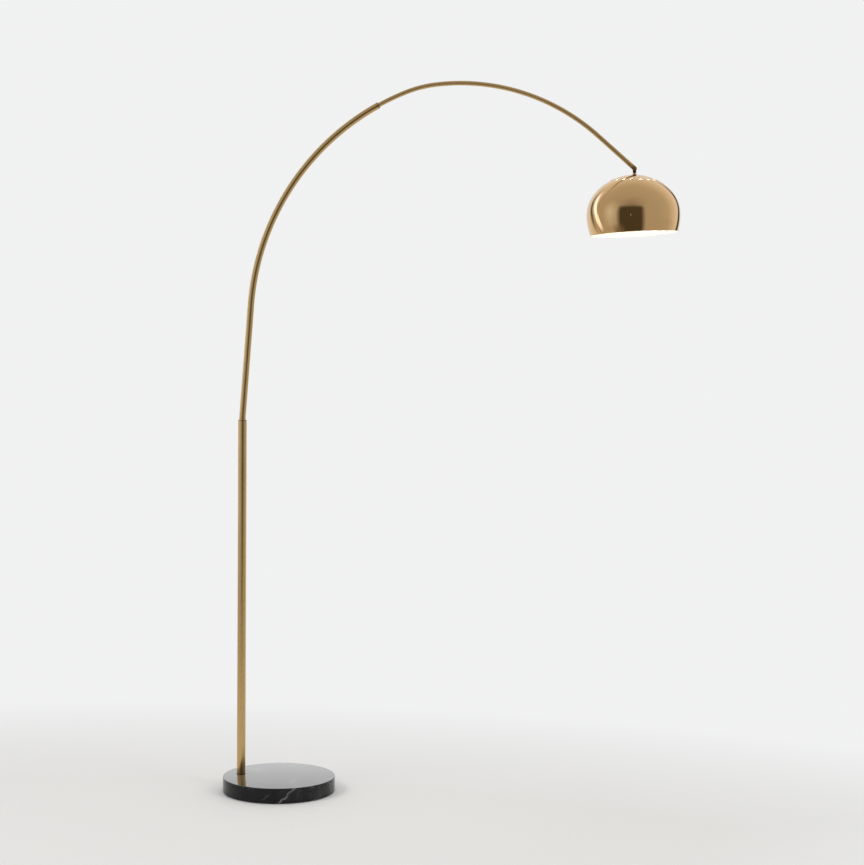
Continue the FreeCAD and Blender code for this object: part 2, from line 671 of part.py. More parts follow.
def make_knuckle_fasteners():
    """One shoulder screw from each side, so that the lead passes between their tips."""
    half, inside, outside = dim("tongue_half"), dim("cheek_inside"), dim("cheek_outside")
    radius, play, tall = dim("pivot_radius"), dim("side_play"), dim("pivot_head_height")
    reach = dim("wire_way") + dim("screw_tip_gap")
    seat = outside + play
    thickness = inside - half - play
    screws = []
    washers = []
    for side, at_front in (("front", True), ("back", False)):
        shank_from = -seat if at_front else reach
        shank = cylinder(side + "_shank", radius, seat - reach, away=shank_from, axis="Y")
        head_from = -seat - tall if at_front else seat
        head = cylinder(side + "_head", dim("pivot_head"), tall, away=head_from, axis="Y")
        screws.append(fuse(side + "_screw", [shank, head]))
        washer_from = -half - thickness if at_front else half
        disc = cylinder(side + "_disc", dim("tongue_radius") - 0.5, thickness,
                        away=washer_from, axis="Y")
        bore = cylinder(side + "_bore", radius + dim("pivot_fit"), thickness + 2.0,
                        away=washer_from - 1.0, axis="Y")
        washers.append(cut(side + "_washer", disc, bore))
    for label, pieces in (("knuckle_screws", screws), ("knuckle_washers", washers)):
        group = sub_part(fuse(label, pieces), label)
        place(group, pivot_x, ZERO, pivot_z)


# ---------------------------------------------------------------- stem and cap
def make_stem():
    """Hollow threaded nipple with the collar, washer and nut that clamp the cap to it."""
    radius = dim("nipple_radius")
    loose = radius + dim("stem_fit")
    crown = dim("crown_drop") - dim("crown_radius") + dim("shade_wall") + dim("crown_gap")
    ring_part("stem_nipple", dim("nipple_bore"), radius, -dim("nipple_end"),
              -dim("socket_top") - dim("axial_gap"), pivot_x, pivot_z)
    seat = -crown - dim("collar_seat")
    wide, collar_top = dim("collar_radius"), -dim("collar_top")
    turned_part("stem_collar", [
        (loose, seat), (wide, seat), (wide, -crown + dim("collar_lip")),
        (dim("collar_tip"), collar_top), (loose, collar_top)], across=pivot_x, up=pivot_z)
    washer_top = -crown - dim("shade_wall") - dim("washer_seat")
    washer_under = washer_top - dim("cap_washer_height")
    ring_part("cap_washer", loose, dim("cap_washer_radius"), washer_under, washer_top,
              pivot_x, pivot_z)
    hex_nut("cap_nut", dim("cap_nut_radius"), radius + dim("thread_fit"), dim("cap_nut_height"),
            pivot_x, pivot_z + washer_under - dim("cap_nut_height"))


def make_shade_cap():
    """Perforated cap: a shallow zone of the crown sphere with a ring of vent holes."""
    body = new_body("shade_cap")
    outer = dim("crown_radius") - dim("shade_wall") - dim("crown_gap")
    inner = outer - dim("shade_wall")
    hole, edge = dim("cap_hole"), dim("cap_edge")
    sketch = new_sketch(body, "outline", "XZ_Plane")
    origin = FreeCAD.Vector(0, 0, 0)
    upwards = FreeCAD.Vector(0, 0, 1)
    ends = []
    for radius in (outer.number, inner.number):
        first = math.acos(edge.number / radius)
        last = math.acos(hole.number / radius)
        sketch.addGeometry(Part.ArcOfCircle(Part.Circle(origin, upwards, radius), first, last), False)
        ends.append([FreeCAD.Vector(math.cos(turn), math.sin(turn), 0) * radius for turn in (first, last)])
    for which in (0, 1):
        sketch.addGeometry(Part.LineSegment(ends[0][which], ends[1][which]), False)
        sketch.addConstraint(Sketcher.Constraint("Coincident", 2 + which, 1, 0, 1 + which))
        sketch.addConstraint(Sketcher.Constraint("Coincident", 2 + which, 2, 1, 1 + which))
        sketch.addConstraint(Sketcher.Constraint("Vertical", 2 + which))
    for arc, radius in enumerate((outer, inner)):
        sketch.addConstraint(Sketcher.Constraint("Coincident", arc, 3, -1, 1))
        constrain(sketch, radius, "Radius", arc)
    constrain(sketch, edge, "DistanceX", -1, 1, 2, 1)
    constrain(sketch, hole, "DistanceX", -1, 1, 3, 1)
    revolve(body, sketch)
    doc.recompute()
    vent = circle_sketch(body, "vent", "XY_Plane", [dim("vent_radius")], across=dim("vent_ring"))
    first_vent = pocket(body, vent, dim("crown_radius"), reverse=True)
    doc.recompute()
    ring = body.newObject("PartDesign::PolarPattern", "vent_ring")
    ring.Originals = [first_vent]
    ring.Axis = (vent, ["N_Axis"])
    ring.Angle = 360.0
    ring.Occurrences = int(dim("vent_count").number)
    body.Tip = ring
    place(body, pivot_x, ZERO, crown_z, axis=(0, 0, 1), angle=dim("vent_turn"))


def dome_side(inset):
    """Radii of one face of the bowl, whose three arcs are all inset by the same wall."""
    return dim("crown_radius") - inset, dim("shoulder_radius") - inset, dim("skirt_radius") - inset


def make_shade_bowl():
    """Spun bowl: a crown zone, a tighter shoulder and a nearly upright skirt, open at both ends."""
    crown, shoulder, skirt = dome_side(ZERO)
    edge = dim("crown_edge")
    edge_sine = edge / crown
    edge_height = root_of_difference(crown, edge)
    shoulder_r = edge - shoulder * edge_sine
    shoulder_z = edge_height - shoulder * (edge_height / crown)
    skirt_r = shoulder_r + shoulder - skirt
    rim = -dim("rim_drop") - shoulder_z
    profiles = []
    for inset in (ZERO, dim("shade_wall")):
        radii = [size.number for size in dome_side(inset)]
        mouth = math.acos(dim("bowl_mouth").number / radii[0])
        seam = math.asin(edge_height.number / crown.number)
        low = math.asin(rim.number / radii[2])
        centres = [(0.0, 0.0), (shoulder_r.number, shoulder_z.number), (skirt_r.number, shoulder_z.number)]
        spans = [(seam, mouth), (0.0, seam), (low, 0.0)]
        arcs = []
        for (across, up), radius, (first, last) in zip(centres, radii, spans):
            circle = Part.Circle(FreeCAD.Vector(across, 0, up), FreeCAD.Vector(0, -1, 0), radius)
            points = []
            for turn in (last, (first + last) / 2.0, first):
                reach = FreeCAD.Vector(math.cos(turn), 0, math.sin(turn)) * radius
                points.append(reach + FreeCAD.Vector(across, 0, up))
            arcs.append(Part.Arc(*points).toShape())
        profiles.append(arcs)
    outside, inside = profiles
    mouth_line = Part.LineSegment(outside[0].Vertexes[0].Point, inside[0].Vertexes[0].Point).toShape()
    rim_line = Part.LineSegment(outside[2].Vertexes[-1].Point, inside[2].Vertexes[-1].Point).toShape()
    outline = Part.Wire(Part.__sortEdges__(outside + [rim_line] + inside + [mouth_line]))
    shell = Part.Face(outline).revolve(FreeCAD.Vector(0, 0, 0), FreeCAD.Vector(0, 0, 1), 360)
    bowl = doc.addObject("Part::Feature", "shade_bowl")
    bowl.Shape = shell if shell.ShapeType == "Solid" else shell.Solids[0]
    sub_part(bowl, "shade_bowl")
    place(bowl, pivot_x, ZERO, crown_z, angle=dim("bowl_rest_tilt"))


# ---------------------------------------------------------------- lampholder and bulb
def make_lampholder():
    """Bakelite cap and body, ceramic insert, threaded shell, contact, shade ring and screws."""
    radius, wall = dim("holder_radius"), dim("holder_wall")
    top, neck, split = dim("holder_top"), dim("holder_neck"), dim("holder_split")
    bore = dim("nipple_radius") + dim("thread_fit")
    roof = -neck - dim("holder_roof")
    turned_part("lampholder_cap", [
        (bore, -top), (dim("holder_neck_radius"), -top), (dim("holder_neck_radius"), -neck),
        (radius, -neck - dim("holder_flare")), (radius, -split), (radius - wall, -split),
        (radius - wall, roof), (bore, roof)], across=pivot_x, up=pivot_z)
    ring_part("lampholder_body", radius - wall, radius, -dim("holder_bottom"), -split, pivot_x, pivot_z)
    insert_under = -dim("insert_bottom")
    ring_part("lampholder_insert", dim("insert_bore"), radius - wall - dim("insert_fit"),
              insert_under, -dim("insert_top"), pivot_x, pivot_z)
    shell_inside = dim("shell_radius") - dim("shell_wall")
    ring_part("socket_shell", shell_inside, dim("shell_radius"), -dim("shell_bottom"),
              insert_under, pivot_x, pivot_z)
    ring_part("socket_contact", ZERO, dim("contact_radius"),
              insert_under - dim("contact_height"), insert_under, pivot_x, pivot_z)
    ring_under = -dim("ring_top") - dim("ring_height")
    ring_part("lampholder_ring", radius + dim("insert_fit"), dim("ring_radius"), ring_under,
              -dim("ring_top"), pivot_x, pivot_z)
    reach = dim("terminal_reach")
    screws = []
    for side, across in (("left", -reach), ("right", reach)):
        screws.append(cylinder(side + "_terminal", dim("terminal_radius"), dim("terminal_height"),
                               across=across, up=-dim("insert_top")))
    place(sub_part(fuse("terminal_screws", screws), "terminal_screws"), pivot_x, ZERO, pivot_z)


def make_bulb():
    """Screw cap, tip contact and hollow glass envelope of the bulb."""
    cap, wall = dim("bulb_cap_radius"), dim("bulb_cap_wall")
    top, bottom, tip = dim("bulb_cap_top"), dim("bulb_cap_bottom"), dim("bulb_tip")
    hole, peg = dim("contact_radius"), dim("tip_radius")
    turned_part("bulb_cap", [
        (hole, -top), (cap, -top), (cap, -bottom), (cap - wall, -bottom), (cap - wall, -top - wall),
        (hole, -top - wall)], across=pivot_x, up=pivot_z)
    turned_part("bulb_tip", [
        (ZERO, -top - wall), (peg, -top - wall), (peg, -top), (dim("tip_flange"), -top),
        (peg, -tip), (ZERO, -tip)], across=pivot_x, up=pivot_z)
    outsides = []
    insides = []
    glass, tangent = dim("bulb_wall"), dim("glass_tangent")
    for inset, pieces, name in ((ZERO, outsides, "outer"), (glass, insides, "inner")):
        radius = dim("bulb_radius") - inset
        neck = cap - wall - dim("glass_fit") - inset
        middle = -dim("bulb_centre")
        shoulder_up = middle + radius * cosine(tangent)
        flare_foot = radius * sine(tangent)
        neck_height = bottom - top - dim("glass_neck_gap") + inset * 2.0
        pieces.append(sphere("glass_%s_globe" % name, radius, middle))
        pieces.append(cone("glass_%s_flare" % name, flare_foot, neck, -shoulder_up - bottom,
                           shoulder_up))
        pieces.append(cylinder("glass_%s_neck" % name, neck, neck_height, up=-bottom - 0.01))
    glass_part = cut("bulb_glass", fuse("glass_outside", outsides), fuse("glass_inside", insides))
    sub_part(glass_part, "bulb_glass")
    place(glass_part, pivot_x, ZERO, pivot_z)


def make_head_lead():
    """The last stretch of the lead, hanging straight down the nipple to the terminals."""
    top, bottom = dim("socket_top"), dim("insert_top") - dim("lead_rise")
    lead = cylinder("head_lead", dim("arm_lead_radius"), bottom - top - dim("inlet_gap"),
                    pivot_x, ZERO, pivot_z - bottom)
    sub_part(lead, "head_lead")


# ---------------------------------------------------------------- build, check and export
BUILDERS = [
    make_base_stone, make_base_pad, make_cable_grommet, make_foot_fittings, make_post_tube,
    make_post_bushes, make_post_lead, make_arm_tube, make_arm_end_bush, make_arm_lead,
    make_boom, make_knuckle_fork, make_knuckle_tongue, make_knuckle_fasteners, make_stem,
    make_shade_cap, make_shade_bowl, make_lampholder, make_bulb, make_head_lead,
]
for builder in BUILDERS:
    builder()
doc.recompute()

failed = [thing.Name for thing in doc.Objects if {"Invalid", "Error"} & set(thing.State)]
if failed:
    raise RuntimeError("objects that failed to build: %s" % ", ".join(failed))

os.makedirs("parts", exist_ok=True)
for thing in sub_parts:
    shape = thing.Shape
    if shape.isNull() or not shape.isValid() or shape.Volume <= 0.0:
        raise RuntimeError("bad shape: " + thing.Label)
for thing in sub_parts:
    thing.Shape.exportStep(os.path.join("parts", thing.Label + ".step"))
    print("%-20s %10.1f mm3  %d solid(s)" % (thing.Label, thing.Shape.Volume, len(thing.Shape.Solids)))
print("arc centre %.3f %.3f  pivot %.3f %.3f  crown centre %.3f" % (
    centre_x.number, centre_z.number, pivot_x.number, pivot_z.number, crown_z.number))
print(len(sub_parts), "sub-parts")
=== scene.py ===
import json
import math

import bmesh
import bpy
from mathutils import Matrix, Vector


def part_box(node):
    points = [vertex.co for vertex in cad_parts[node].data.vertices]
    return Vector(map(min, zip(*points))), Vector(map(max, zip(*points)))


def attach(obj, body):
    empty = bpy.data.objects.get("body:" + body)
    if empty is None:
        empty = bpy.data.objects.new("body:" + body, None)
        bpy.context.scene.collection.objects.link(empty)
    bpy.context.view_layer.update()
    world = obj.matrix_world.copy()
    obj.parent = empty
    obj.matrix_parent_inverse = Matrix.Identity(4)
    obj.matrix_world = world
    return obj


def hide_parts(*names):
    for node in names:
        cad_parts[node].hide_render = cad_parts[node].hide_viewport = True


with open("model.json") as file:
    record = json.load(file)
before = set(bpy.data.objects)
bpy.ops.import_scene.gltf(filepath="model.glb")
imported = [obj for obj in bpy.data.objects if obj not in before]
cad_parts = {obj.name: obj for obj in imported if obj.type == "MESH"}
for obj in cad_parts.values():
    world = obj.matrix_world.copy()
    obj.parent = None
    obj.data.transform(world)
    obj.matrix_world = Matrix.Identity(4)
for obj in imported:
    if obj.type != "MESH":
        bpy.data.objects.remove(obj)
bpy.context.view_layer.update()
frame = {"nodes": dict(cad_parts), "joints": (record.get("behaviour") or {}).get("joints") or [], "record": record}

MM = 0.001

# ---------------------------------------------------------------- places from the frame
joints = {joint["name"]: joint for joint in frame["joints"]}
ARC_CENTRE = Vector(joints["boom_extension"]["pos_m"])
PIVOT = Vector(joints["head_tilt"]["pos_m"])
CROWN = Vector(joints["bowl_tilt"]["pos_m"])
stone_low, stone_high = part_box("base_stone")
post_low, post_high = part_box("post_tube")
arm_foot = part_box("arm_tube")[0].z
POST_X = (post_low.x + post_high.x) / 2
BASE_RADIUS = stone_high.x
record = frame["record"]
slot_of = {row["node"]: row["material_slot"] for row in record["subparts"]}
body_of = {node: body for body, nodes in record["behaviour"]["bodies"].items() for node in nodes}

# ---------------------------------------------------------------- sizes that the pieces share
# Angles are in degrees. The bends are pairs of a radius and the angle that it turns through.
POST_RADIUS = 12.5 * MM
POST_WALL = 1.5 * MM
ARM_RADIUS = 9.5 * MM
ARM_WALL = 1.2 * MM
BOOM_RADIUS = 6.5 * MM
BOOM_WALL = 1.0 * MM
KINK_RADIUS = 200 * MM
KINK_UP = post_high.z + 2 * MM
ARC_RADIUS = 710 * MM
LEAN = 4.2
ARM_SWEEP = 57.8
MOUTH_ANGLE = 180 - LEAN - ARM_SWEEP
BOOM_TAIL = 25
BOOM_LEAD_IN = 7
BOOM_BENDS = ((350 * MM, 15.2), (605 * MM, 47.5))
TIP_HEADING = MOUTH_ANGLE - BOOM_LEAD_IN - 90 - sum(sweep for radius, sweep in BOOM_BENDS)
FORK_ROOT = 14 * MM
BOWL_TILT = -3.4
CROWN_RADIUS = 142 * MM
SHADE_WALL = 0.8 * MM
CROWN_GAP = 0.3 * MM
ARC_STEP = 0.5
TRIM = 0.03 * MM    # keeps the finer meshes inside the box of the CAD's coarser ones


# ---------------------------------------------------------------- nodes for materials
class Nodes:
    """A small wrapper that adds and links the shader nodes of one tree."""

    def __init__(self, tree):
        self.tree = tree
        self.place = self.node("TexCoord")

    def node(self, kind, **settings):
        """A node whose settings are its own properties or else its sockets."""
        made = self.tree.nodes.new("ShaderNode" + kind)
        for name, value in settings.items():
            if hasattr(made, name):
                setattr(made, name, value)
            else:
                made.inputs[name.replace("_", " ")].default_value = value
        return made

    def link(self, source, target):
        self.tree.links.new(source, target)

    def fed(self, made, output, *sources):
        """Links sources into a node's first sockets and gives back one of its outputs."""
        for index, source in enumerate(sources):
            self.link(source, made.inputs[index])
        return made.outputs[output]

    def stretched(self, scale=(1, 1, 1), rotation=(0, 0, 0), location=(0, 0, 0)):
        mapping = self.node("Mapping", Scale=scale, Rotation=rotation, Location=location)
        return self.fed(mapping, "Vector", self.place.outputs["Object"])

    def noise(self, vector, scale, detail=4, roughness=0.5, distortion=0.0):
        made = self.node("TexNoise", Scale=scale, Detail=detail)
        made.inputs["Roughness"].default_value = roughness
        made.inputs["Distortion"].default_value = distortion
        return self.fed(made, "Fac", vector)

    def ramp(self, factor, *stops, interpolation="LINEAR"):
        made = self.node("ValToRGB")
        ramp = made.color_ramp
        ramp.interpolation = interpolation
        while len(ramp.elements) < len(stops):
            ramp.elements.new(0.5)
        for element, (position, color) in zip(ramp.elements, stops):
            element.position = position
            element.color = (*color, 1)
        return self.fed(made, "Color", factor)

    def drift(self, factor, dark, light):
        """A soft change between two colours across a noise's middle range."""
        return self.ramp(factor, (0.3, dark), (0.7, light))

    def span(self, factor, low, high, start=0.0, end=1.0):
        made = self.node("MapRange", From_Min=start, From_Max=end, To_Min=low, To_Max=high)
        return self.fed(made, "Result", factor)

    def layered(self, kind, first, second):
        """Two colours put together in full by a blend mode."""
        made = self.node("MixRGB", blend_type=kind, Fac=1.0)
        self.link(first, made.inputs["Color1"])
        self.link(second, made.inputs["Color2"])
        return made.outputs["Color"]

    def blend(self, factor, first, second):
        return self.fed(self.node("MixRGB"), "Color", factor, first, second)

    def sums(self, operation, *sources):
        return self.fed(self.node("Math", operation=operation), "Value", *sources)

    def length(self, vector):
        return self.fed(self.node("VectorMath", operation="LENGTH"), "Value", vector)

    def apart(self, vector):
        """A vector's X, Y and Z as separate outputs."""
        parts = self.node("SeparateXYZ")
        self.link(vector, parts.inputs["Vector"])
        return parts.outputs

    def mixed(self, factor, first, second):
        return self.fed(self.node("MixShader"), "Shader", factor, first, second)


class Material(Nodes):
    """A material whose nodes feed one principled shader."""

    def __init__(self, name):
        self.material = bpy.data.materials.new(name)
        self.material.use_nodes = True
        super().__init__(self.material.node_tree)
        self.shader = self.tree.nodes["Principled BSDF"]

    def set(self, **sockets):
        for name, value in sockets.items():
            self.shader.inputs[name.replace("_", " ")].default_value = value

    def bump(self, height, distance, strength=1.0):
        made = self.node("Bump", Strength=strength, Distance=distance)
        self.link(height, made.inputs["Height"])
        self.link(made.outputs["Normal"], self.shader.inputs["Normal"])

    def color(self, socket):
        self.link(socket, self.shader.inputs["Base Color"])

    def rough(self, socket):
        self.link(socket, self.shader.inputs["Roughness"])

    def surface(self, shader):
        self.link(shader, self.tree.nodes["Material Output"].inputs["Surface"])


def grey(value):
    return (value, value, value)


def scaled(color, share):
    return tuple(share * channel for channel in color)


def brushed_brass(name, roughness=(0.24, 0.32)):
    """Satin brass with fine upright brush lines and soft tarnish patches."""
    made = Material(name)
    made.set(Metallic=1.0, Anisotropic=0.4)
    grain = made.noise(made.stretched((1, 1, 0.02)), 3600, detail=2)
    patches = made.noise(made.stretched(), 9, detail=5)
    light, dark = (0.62, 0.425, 0.190), (0.55, 0.365, 0.155)
    body = made.drift(patches, dark, light)
    fine = made.ramp(grain, (0.35, scaled(light, 0.94)), (0.65, light))
    made.color(made.blend(made.drift(grain, grey(0.2), grey(0.45)), body, fine))
    made.rough(made.span(grain, *roughness))
    made.bump(grain, 0.00002, 0.3)
    return made.material


def polished_brass(name):
    """Lacquered, spun and polished brass: faint lathe rings, wipe marks and a warm colour drift."""
    made = Material(name)
    made.set(Metallic=1.0, Coat_Weight=0.25, Coat_Roughness=0.05)
    rings = made.noise(made.stretched((6, 6, 900)), 1.2, detail=3, roughness=0.6)
    wipes = made.noise(made.stretched((1, 1, 2.4), rotation=(0.4, 0.2, 0)), 26, detail=6, distortion=0.6)
    drift = made.noise(made.stretched(), 5, detail=2)
    made.color(made.drift(drift, (0.70, 0.435, 0.185), (0.76, 0.485, 0.220)))
    made.rough(made.span(wipes, 0.045, 0.12, start=0.3, end=0.75))
    made.bump(rings, 0.00002, 0.35)
    return made.material


def white_enamel(name):
    """The shade's inside: satin white lacquer with a faint orange-peel surface."""
    made = Material(name)
    peel = made.noise(made.stretched(), 900, detail=2)
    patches = made.noise(made.stretched(), 14, detail=3)
    made.color(made.drift(patches, (0.86, 0.845, 0.81), (0.90, 0.885, 0.855)))
    made.rough(made.span(peel, 0.34, 0.44))
    made.bump(peel, 0.00005, 0.3)
    return made.material


def marble_veins(made, paths):
    """Three sizes of broken pale veins along the edges of warped cells, as one mask."""
    total = None
    for scale, width, strength in ((7.5, 0.012, 0.75), (17, 0.012, 0.22), (36, 0.02, 0.05)):
        cells = made.node("TexVoronoi", feature="DISTANCE_TO_EDGE", Scale=scale)
        made.link(paths, cells.inputs["Vector"])
        stops = ((0.0, grey(strength)), (width, grey(strength * 0.28)), (width * 4, grey(0.0)))
        lines = made.ramp(cells.outputs["Distance"], *stops, interpolation="EASE")
        breaks = made.noise(made.stretched(location=(scale, 0, 0)), scale * 0.9, detail=3)
        gaps = made.ramp(breaks, (0.50, grey(0.0)), (0.60, grey(1.0)))
        veins = made.layered("MULTIPLY", lines, gaps)
        total = veins if total is None else made.layered("SCREEN", total, veins)
    return total


def black_marble(name, coat, gloss):
    """Polished black marble: cloudy ground, a few long pale veins and many hair-thin ones."""
    made = Material(name)
    made.set(Coat_Weight=coat, Coat_Roughness=0.05, Specular_IOR_Level=gloss)
    flow = made.node("TexNoise", Scale=5.5, Detail=6, Roughness=0.62)
    made.link(made.stretched((1, 1, 1.6), rotation=(0.5, 0.9, 0.3)), flow.inputs["Vector"])
    warp = made.node("VectorMath", operation="MULTIPLY_ADD")
    warp.inputs[1].default_value = (0.10, 0.10, 0.10)
    made.link(flow.outputs["Color"], warp.inputs[0])
    made.link(made.stretched((1, 1, 1.2), rotation=(0.2, 0.5, 0.9)), warp.inputs[2])
    veins = marble_veins(made, warp.outputs["Vector"])
    cloudy = made.stretched((1, 1, 0.5), rotation=(0.3, 0.2, 0.7))
    clouds = made.noise(cloudy, 9, detail=9, roughness=0.68, distortion=0.4)
    night, coal, smoke = (0.004, 0.004, 0.0045), (0.010, 0.010, 0.011), (0.050, 0.049, 0.048)
    ground = made.ramp(clouds, (0.36, night), (0.52, coal), (0.70, smoke))
    stain = made.noise(made.stretched(), 30, detail=3)
    pale = made.drift(stain, (0.52, 0.50, 0.47), (0.82, 0.80, 0.76))
    made.color(made.blend(veins, ground, pale))
    made.rough(made.span(made.noise(made.stretched(), 60, detail=3), 0.10, 0.17))
    return made.material


def plain_metal(name, color, roughness=(0.25, 0.4)):
    """Turned or plated metal with fine machining lines."""
    made = Material(name)
    made.set(Metallic=1.0)
    grain = made.noise(made.stretched((1, 1, 0.1)), 1500, detail=3)
    made.color(made.drift(grain, scaled(color, 0.82), color))
    made.rough(made.span(grain, *roughness))
    made.bump(grain, 0.00003, 0.4)
    return made.material


def moulded(name, color, roughness, grain_scale=1800):
    """Moulded plastic or rubber with a fine surface grain."""
    made = Material(name)
    grain = made.noise(made.stretched(), grain_scale, detail=3)
    patches = made.noise(made.stretched(), 60, detail=3)
    made.color(made.drift(patches, scaled(color, 0.7), scaled(color, 1.2)))
    made.rough(made.span(grain, *roughness))
    made.bump(grain, 0.00004, 0.5)
    return made.material


def felt(name):
    """Pressed felt with a fibrous nap."""
    made = Material(name)
    made.set(Sheen_Weight=0.5, Sheen_Roughness=0.6)
    lay = made.stretched((1, 1, 3))
    fibres = made.noise(lay, 1400, detail=6, roughness=0.7, distortion=1.5)
    made.color(made.drift(fibres, (0.010, 0.010, 0.011), (0.055, 0.055, 0.058)))
    made.rough(made.span(fibres, 0.85, 1.0))
    made.bump(fibres, 0.0004, 0.8)
    return made.material


def porcelain(name):
    """Glazed white porcelain with faint specks."""
    made = Material(name)
    made.set(Coat_Weight=0.5, Coat_Roughness=0.08)
    specks = made.noise(made.stretched(), 700, detail=4)
    made.color(made.ramp(specks, (0.3, (0.78, 0.76, 0.71)), (0.5, (0.88, 0.87, 0.83))))
    made.rough(made.span(specks, 0.18, 0.3))
    return made.material


def lit_glass(name, glow):
    """Frosted opal glass that glows, with a slight drift in its warmth."""
    made = Material(name)
    frost = made.noise(made.stretched(), 1200, detail=3)
    made.color(made.drift(frost, (0.93, 0.90, 0.84), (0.99, 0.97, 0.93)))
    made.rough(made.span(frost, 0.3, 0.45))
    warmth = made.noise(made.stretched(), 8, detail=2)
    warm = made.drift(warmth, (1.0, 0.86, 0.66), (1.0, 0.92, 0.77))
    made.link(warm, made.shader.inputs["Emission Color"])
    made.set(Emission_Strength=glow)
    return made.material


BULB_GLOW = 9.0
materials = {
    "marble": black_marble("polished marble", 1.0, 0.6),
    "felt": felt("black felt"),
    "black_rubber": moulded("black rubber", grey(0.018), (0.6, 0.75)),
    "steel": plain_metal("zinc plated steel", (0.56, 0.56, 0.55)),
    "brushed_brass": brushed_brass("brushed brass"),
    "polished_brass": polished_brass("polished brass"),
    "dark_brass": plain_metal("screw brass", (0.42, 0.29, 0.13)),
    "black_nylon": moulded("black nylon", grey(0.022), (0.3, 0.42)),
    "black_steel": plain_metal("blackened steel", (0.05, 0.047, 0.043)),
    "lead_pvc": moulded("black cable jacket", grey(0.03), (0.4, 0.55)),
    "black_bakelite": moulded("black bakelite", grey(0.014), (0.12, 0.2), 400),
    "porcelain": porcelain("glazed porcelain"),
    "nickel": plain_metal("nickel plate", (0.64, 0.61, 0.55), (0.16, 0.28)),
    "frosted_glass": lit_glass("lit frosted glass", BULB_GLOW),
}
enamel = white_enamel("white enamel")
boom_brass = brushed_brass("boom brass", roughness=(0.38, 0.46))
marble_side = black_marble("marble side", 0.0, 0.22)


# ---------------------------------------------------------------- mesh helpers
def placed(name, data):
    """An object that holds some data, put in the scene."""
    made = bpy.data.objects.new(name, data)
    bpy.context.scene.collection.objects.link(made)
    return made


def finish_piece(name, mesh, node, parts=None, sharp=35):
    """Shades a mesh smoothly, gives it its finish and lets it stand for its CAD node."""
    mesh.validate()
    for polygon in mesh.polygons:
        polygon.use_smooth = True
    mesh.set_sharp_from_angle(angle=math.radians(sharp))
    for material in parts or [materials[slot_of[node]]]:
        mesh.materials.append(material)
    piece = placed(name, mesh)
    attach(piece, body_of[node])
    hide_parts(node)
    return piece


def finish_turned(name, mesh, node, centre=PIVOT.x, **options):
    """Finishes a piece that was turned about an upright axis, which stands at that X."""
    finish_piece(name, moved(mesh, (centre, 0, 0)), node, **options)


def skin(rings, closed_rings=True, tags=None):
    """Joins rings of points into a mesh. A ring of one point closes the skin to a tip."""
    bm = bmesh.new()
    made = [[bm.verts.new(point) for point in ring] for ring in rings]
    pairs = list(zip(made, made[1:]))
    if closed_rings:
        pairs.append((made[-1], made[0]))
    for index, (lower, upper) in enumerate(pairs):
        count = max(len(lower), len(upper))
        for step in range(count):
            following = (step + 1) % count
            if len(lower) == 1:
                corners = [lower[0], upper[following], upper[step]]
            elif len(upper) == 1:
                corners = [lower[step], lower[following], upper[0]]
            else:
                corners = [lower[step], lower[following], upper[following], upper[step]]
            face = bm.faces.new(corners)
            face.material_index = tags[index] if tags else 0
    bmesh.ops.recalc_face_normals(bm, faces=bm.faces)
    return bm


def to_mesh(bm, name):
    mesh = bpy.data.meshes.new(name)
    bm.to_mesh(mesh)
    bm.free()
    return mesh


def rounded(corners, steps=4):
    """Turns each corner's radius into a small arc.

    A corner is (across, up, radius, tag), and the radius and tag may be left out when they are 0.
    """
    corners = [(*corner, 0, 0)[:4] for corner in corners]
    points = []
    count = len(corners)
    for index, (across, up, radius, tag) in enumerate(corners):
        here = Vector((across, up))
        before = Vector(corners[index - 1][:2]) - here
        after = Vector(corners[(index + 1) % count][:2]) - here
        if radius <= 0:
            points.append((across, up, tag))
            continue
        half = before.angle(after) / 2
        reach = min(radius / math.tan(half), before.length * 0.49, after.length * 0.49)
        for step in range(steps + 1):
            part = step / steps
            start = here + before.normalized() * reach
            end = here + after.normalized() * reach
            point = start * (1 - part) ** 2 + here * 2 * part * (1 - part) + end * part ** 2
            points.append((point.x, point.y, tag))
    return points


def circle(radius, up, segments):
    """A level ring of points round the Z axis."""
    turns = [2 * math.pi * step / segments for step in range(segments)]
    return [Vector((radius * math.cos(turn), radius * math.sin(turn), up)) for turn in turns]


def lathe(name, corners, segments=128, steps=4):
    """A turned mesh whose tags are material numbers. Its outline closes on itself."""
    outline = rounded(corners, steps)
    rings = []
    for radius, up, tag in outline:
        rings.append(circle(radius, up, segments) if radius > 1e-7 else [Vector((0, 0, up))])
    tags = [tag for radius, up, tag in outline]
    hollow = min(len(ring) for ring in rings) > 1
    return to_mesh(skin(rings, closed_rings=hollow, tags=tags), name)


def rod_corners(radius, bottom, top, edge=0.0):
    """The outline of a plain solid cylinder."""
    return [(0, bottom), (radius, bottom, edge), (radius, top, edge), (0, top)]


def ring_corners(inside, outside, bottom, top, edge):
    """The outline of a plain ring with softened edges."""
    return [(inside, bottom, edge), (outside, bottom, edge),
            (outside, top, edge), (inside, top, edge)]


def spun(degrees, axis):
    return Matrix.Rotation(math.radians(degrees), 4, axis)


def moved(mesh, place=(0, 0, 0), tilt=0.0):
    """Puts a mesh in the lamp's frame, turned about +Y first."""
    mesh.transform(Matrix.Translation(place) @ spun(tilt, "Y"))
    return mesh


# ---------------------------------------------------------------- tubes that follow the arc
def pointing(degrees):
    """The direction that many degrees above +X, in the plane of the arc."""
    return Vector((math.cos(math.radians(degrees)), 0, math.sin(math.radians(degrees))))


def straight(start, end, heading, parts=1):
    """Stations along a straight run: a station is a point and its heading above +X."""
    return [(start.lerp(end, step / parts), heading) for step in range(parts + 1)]


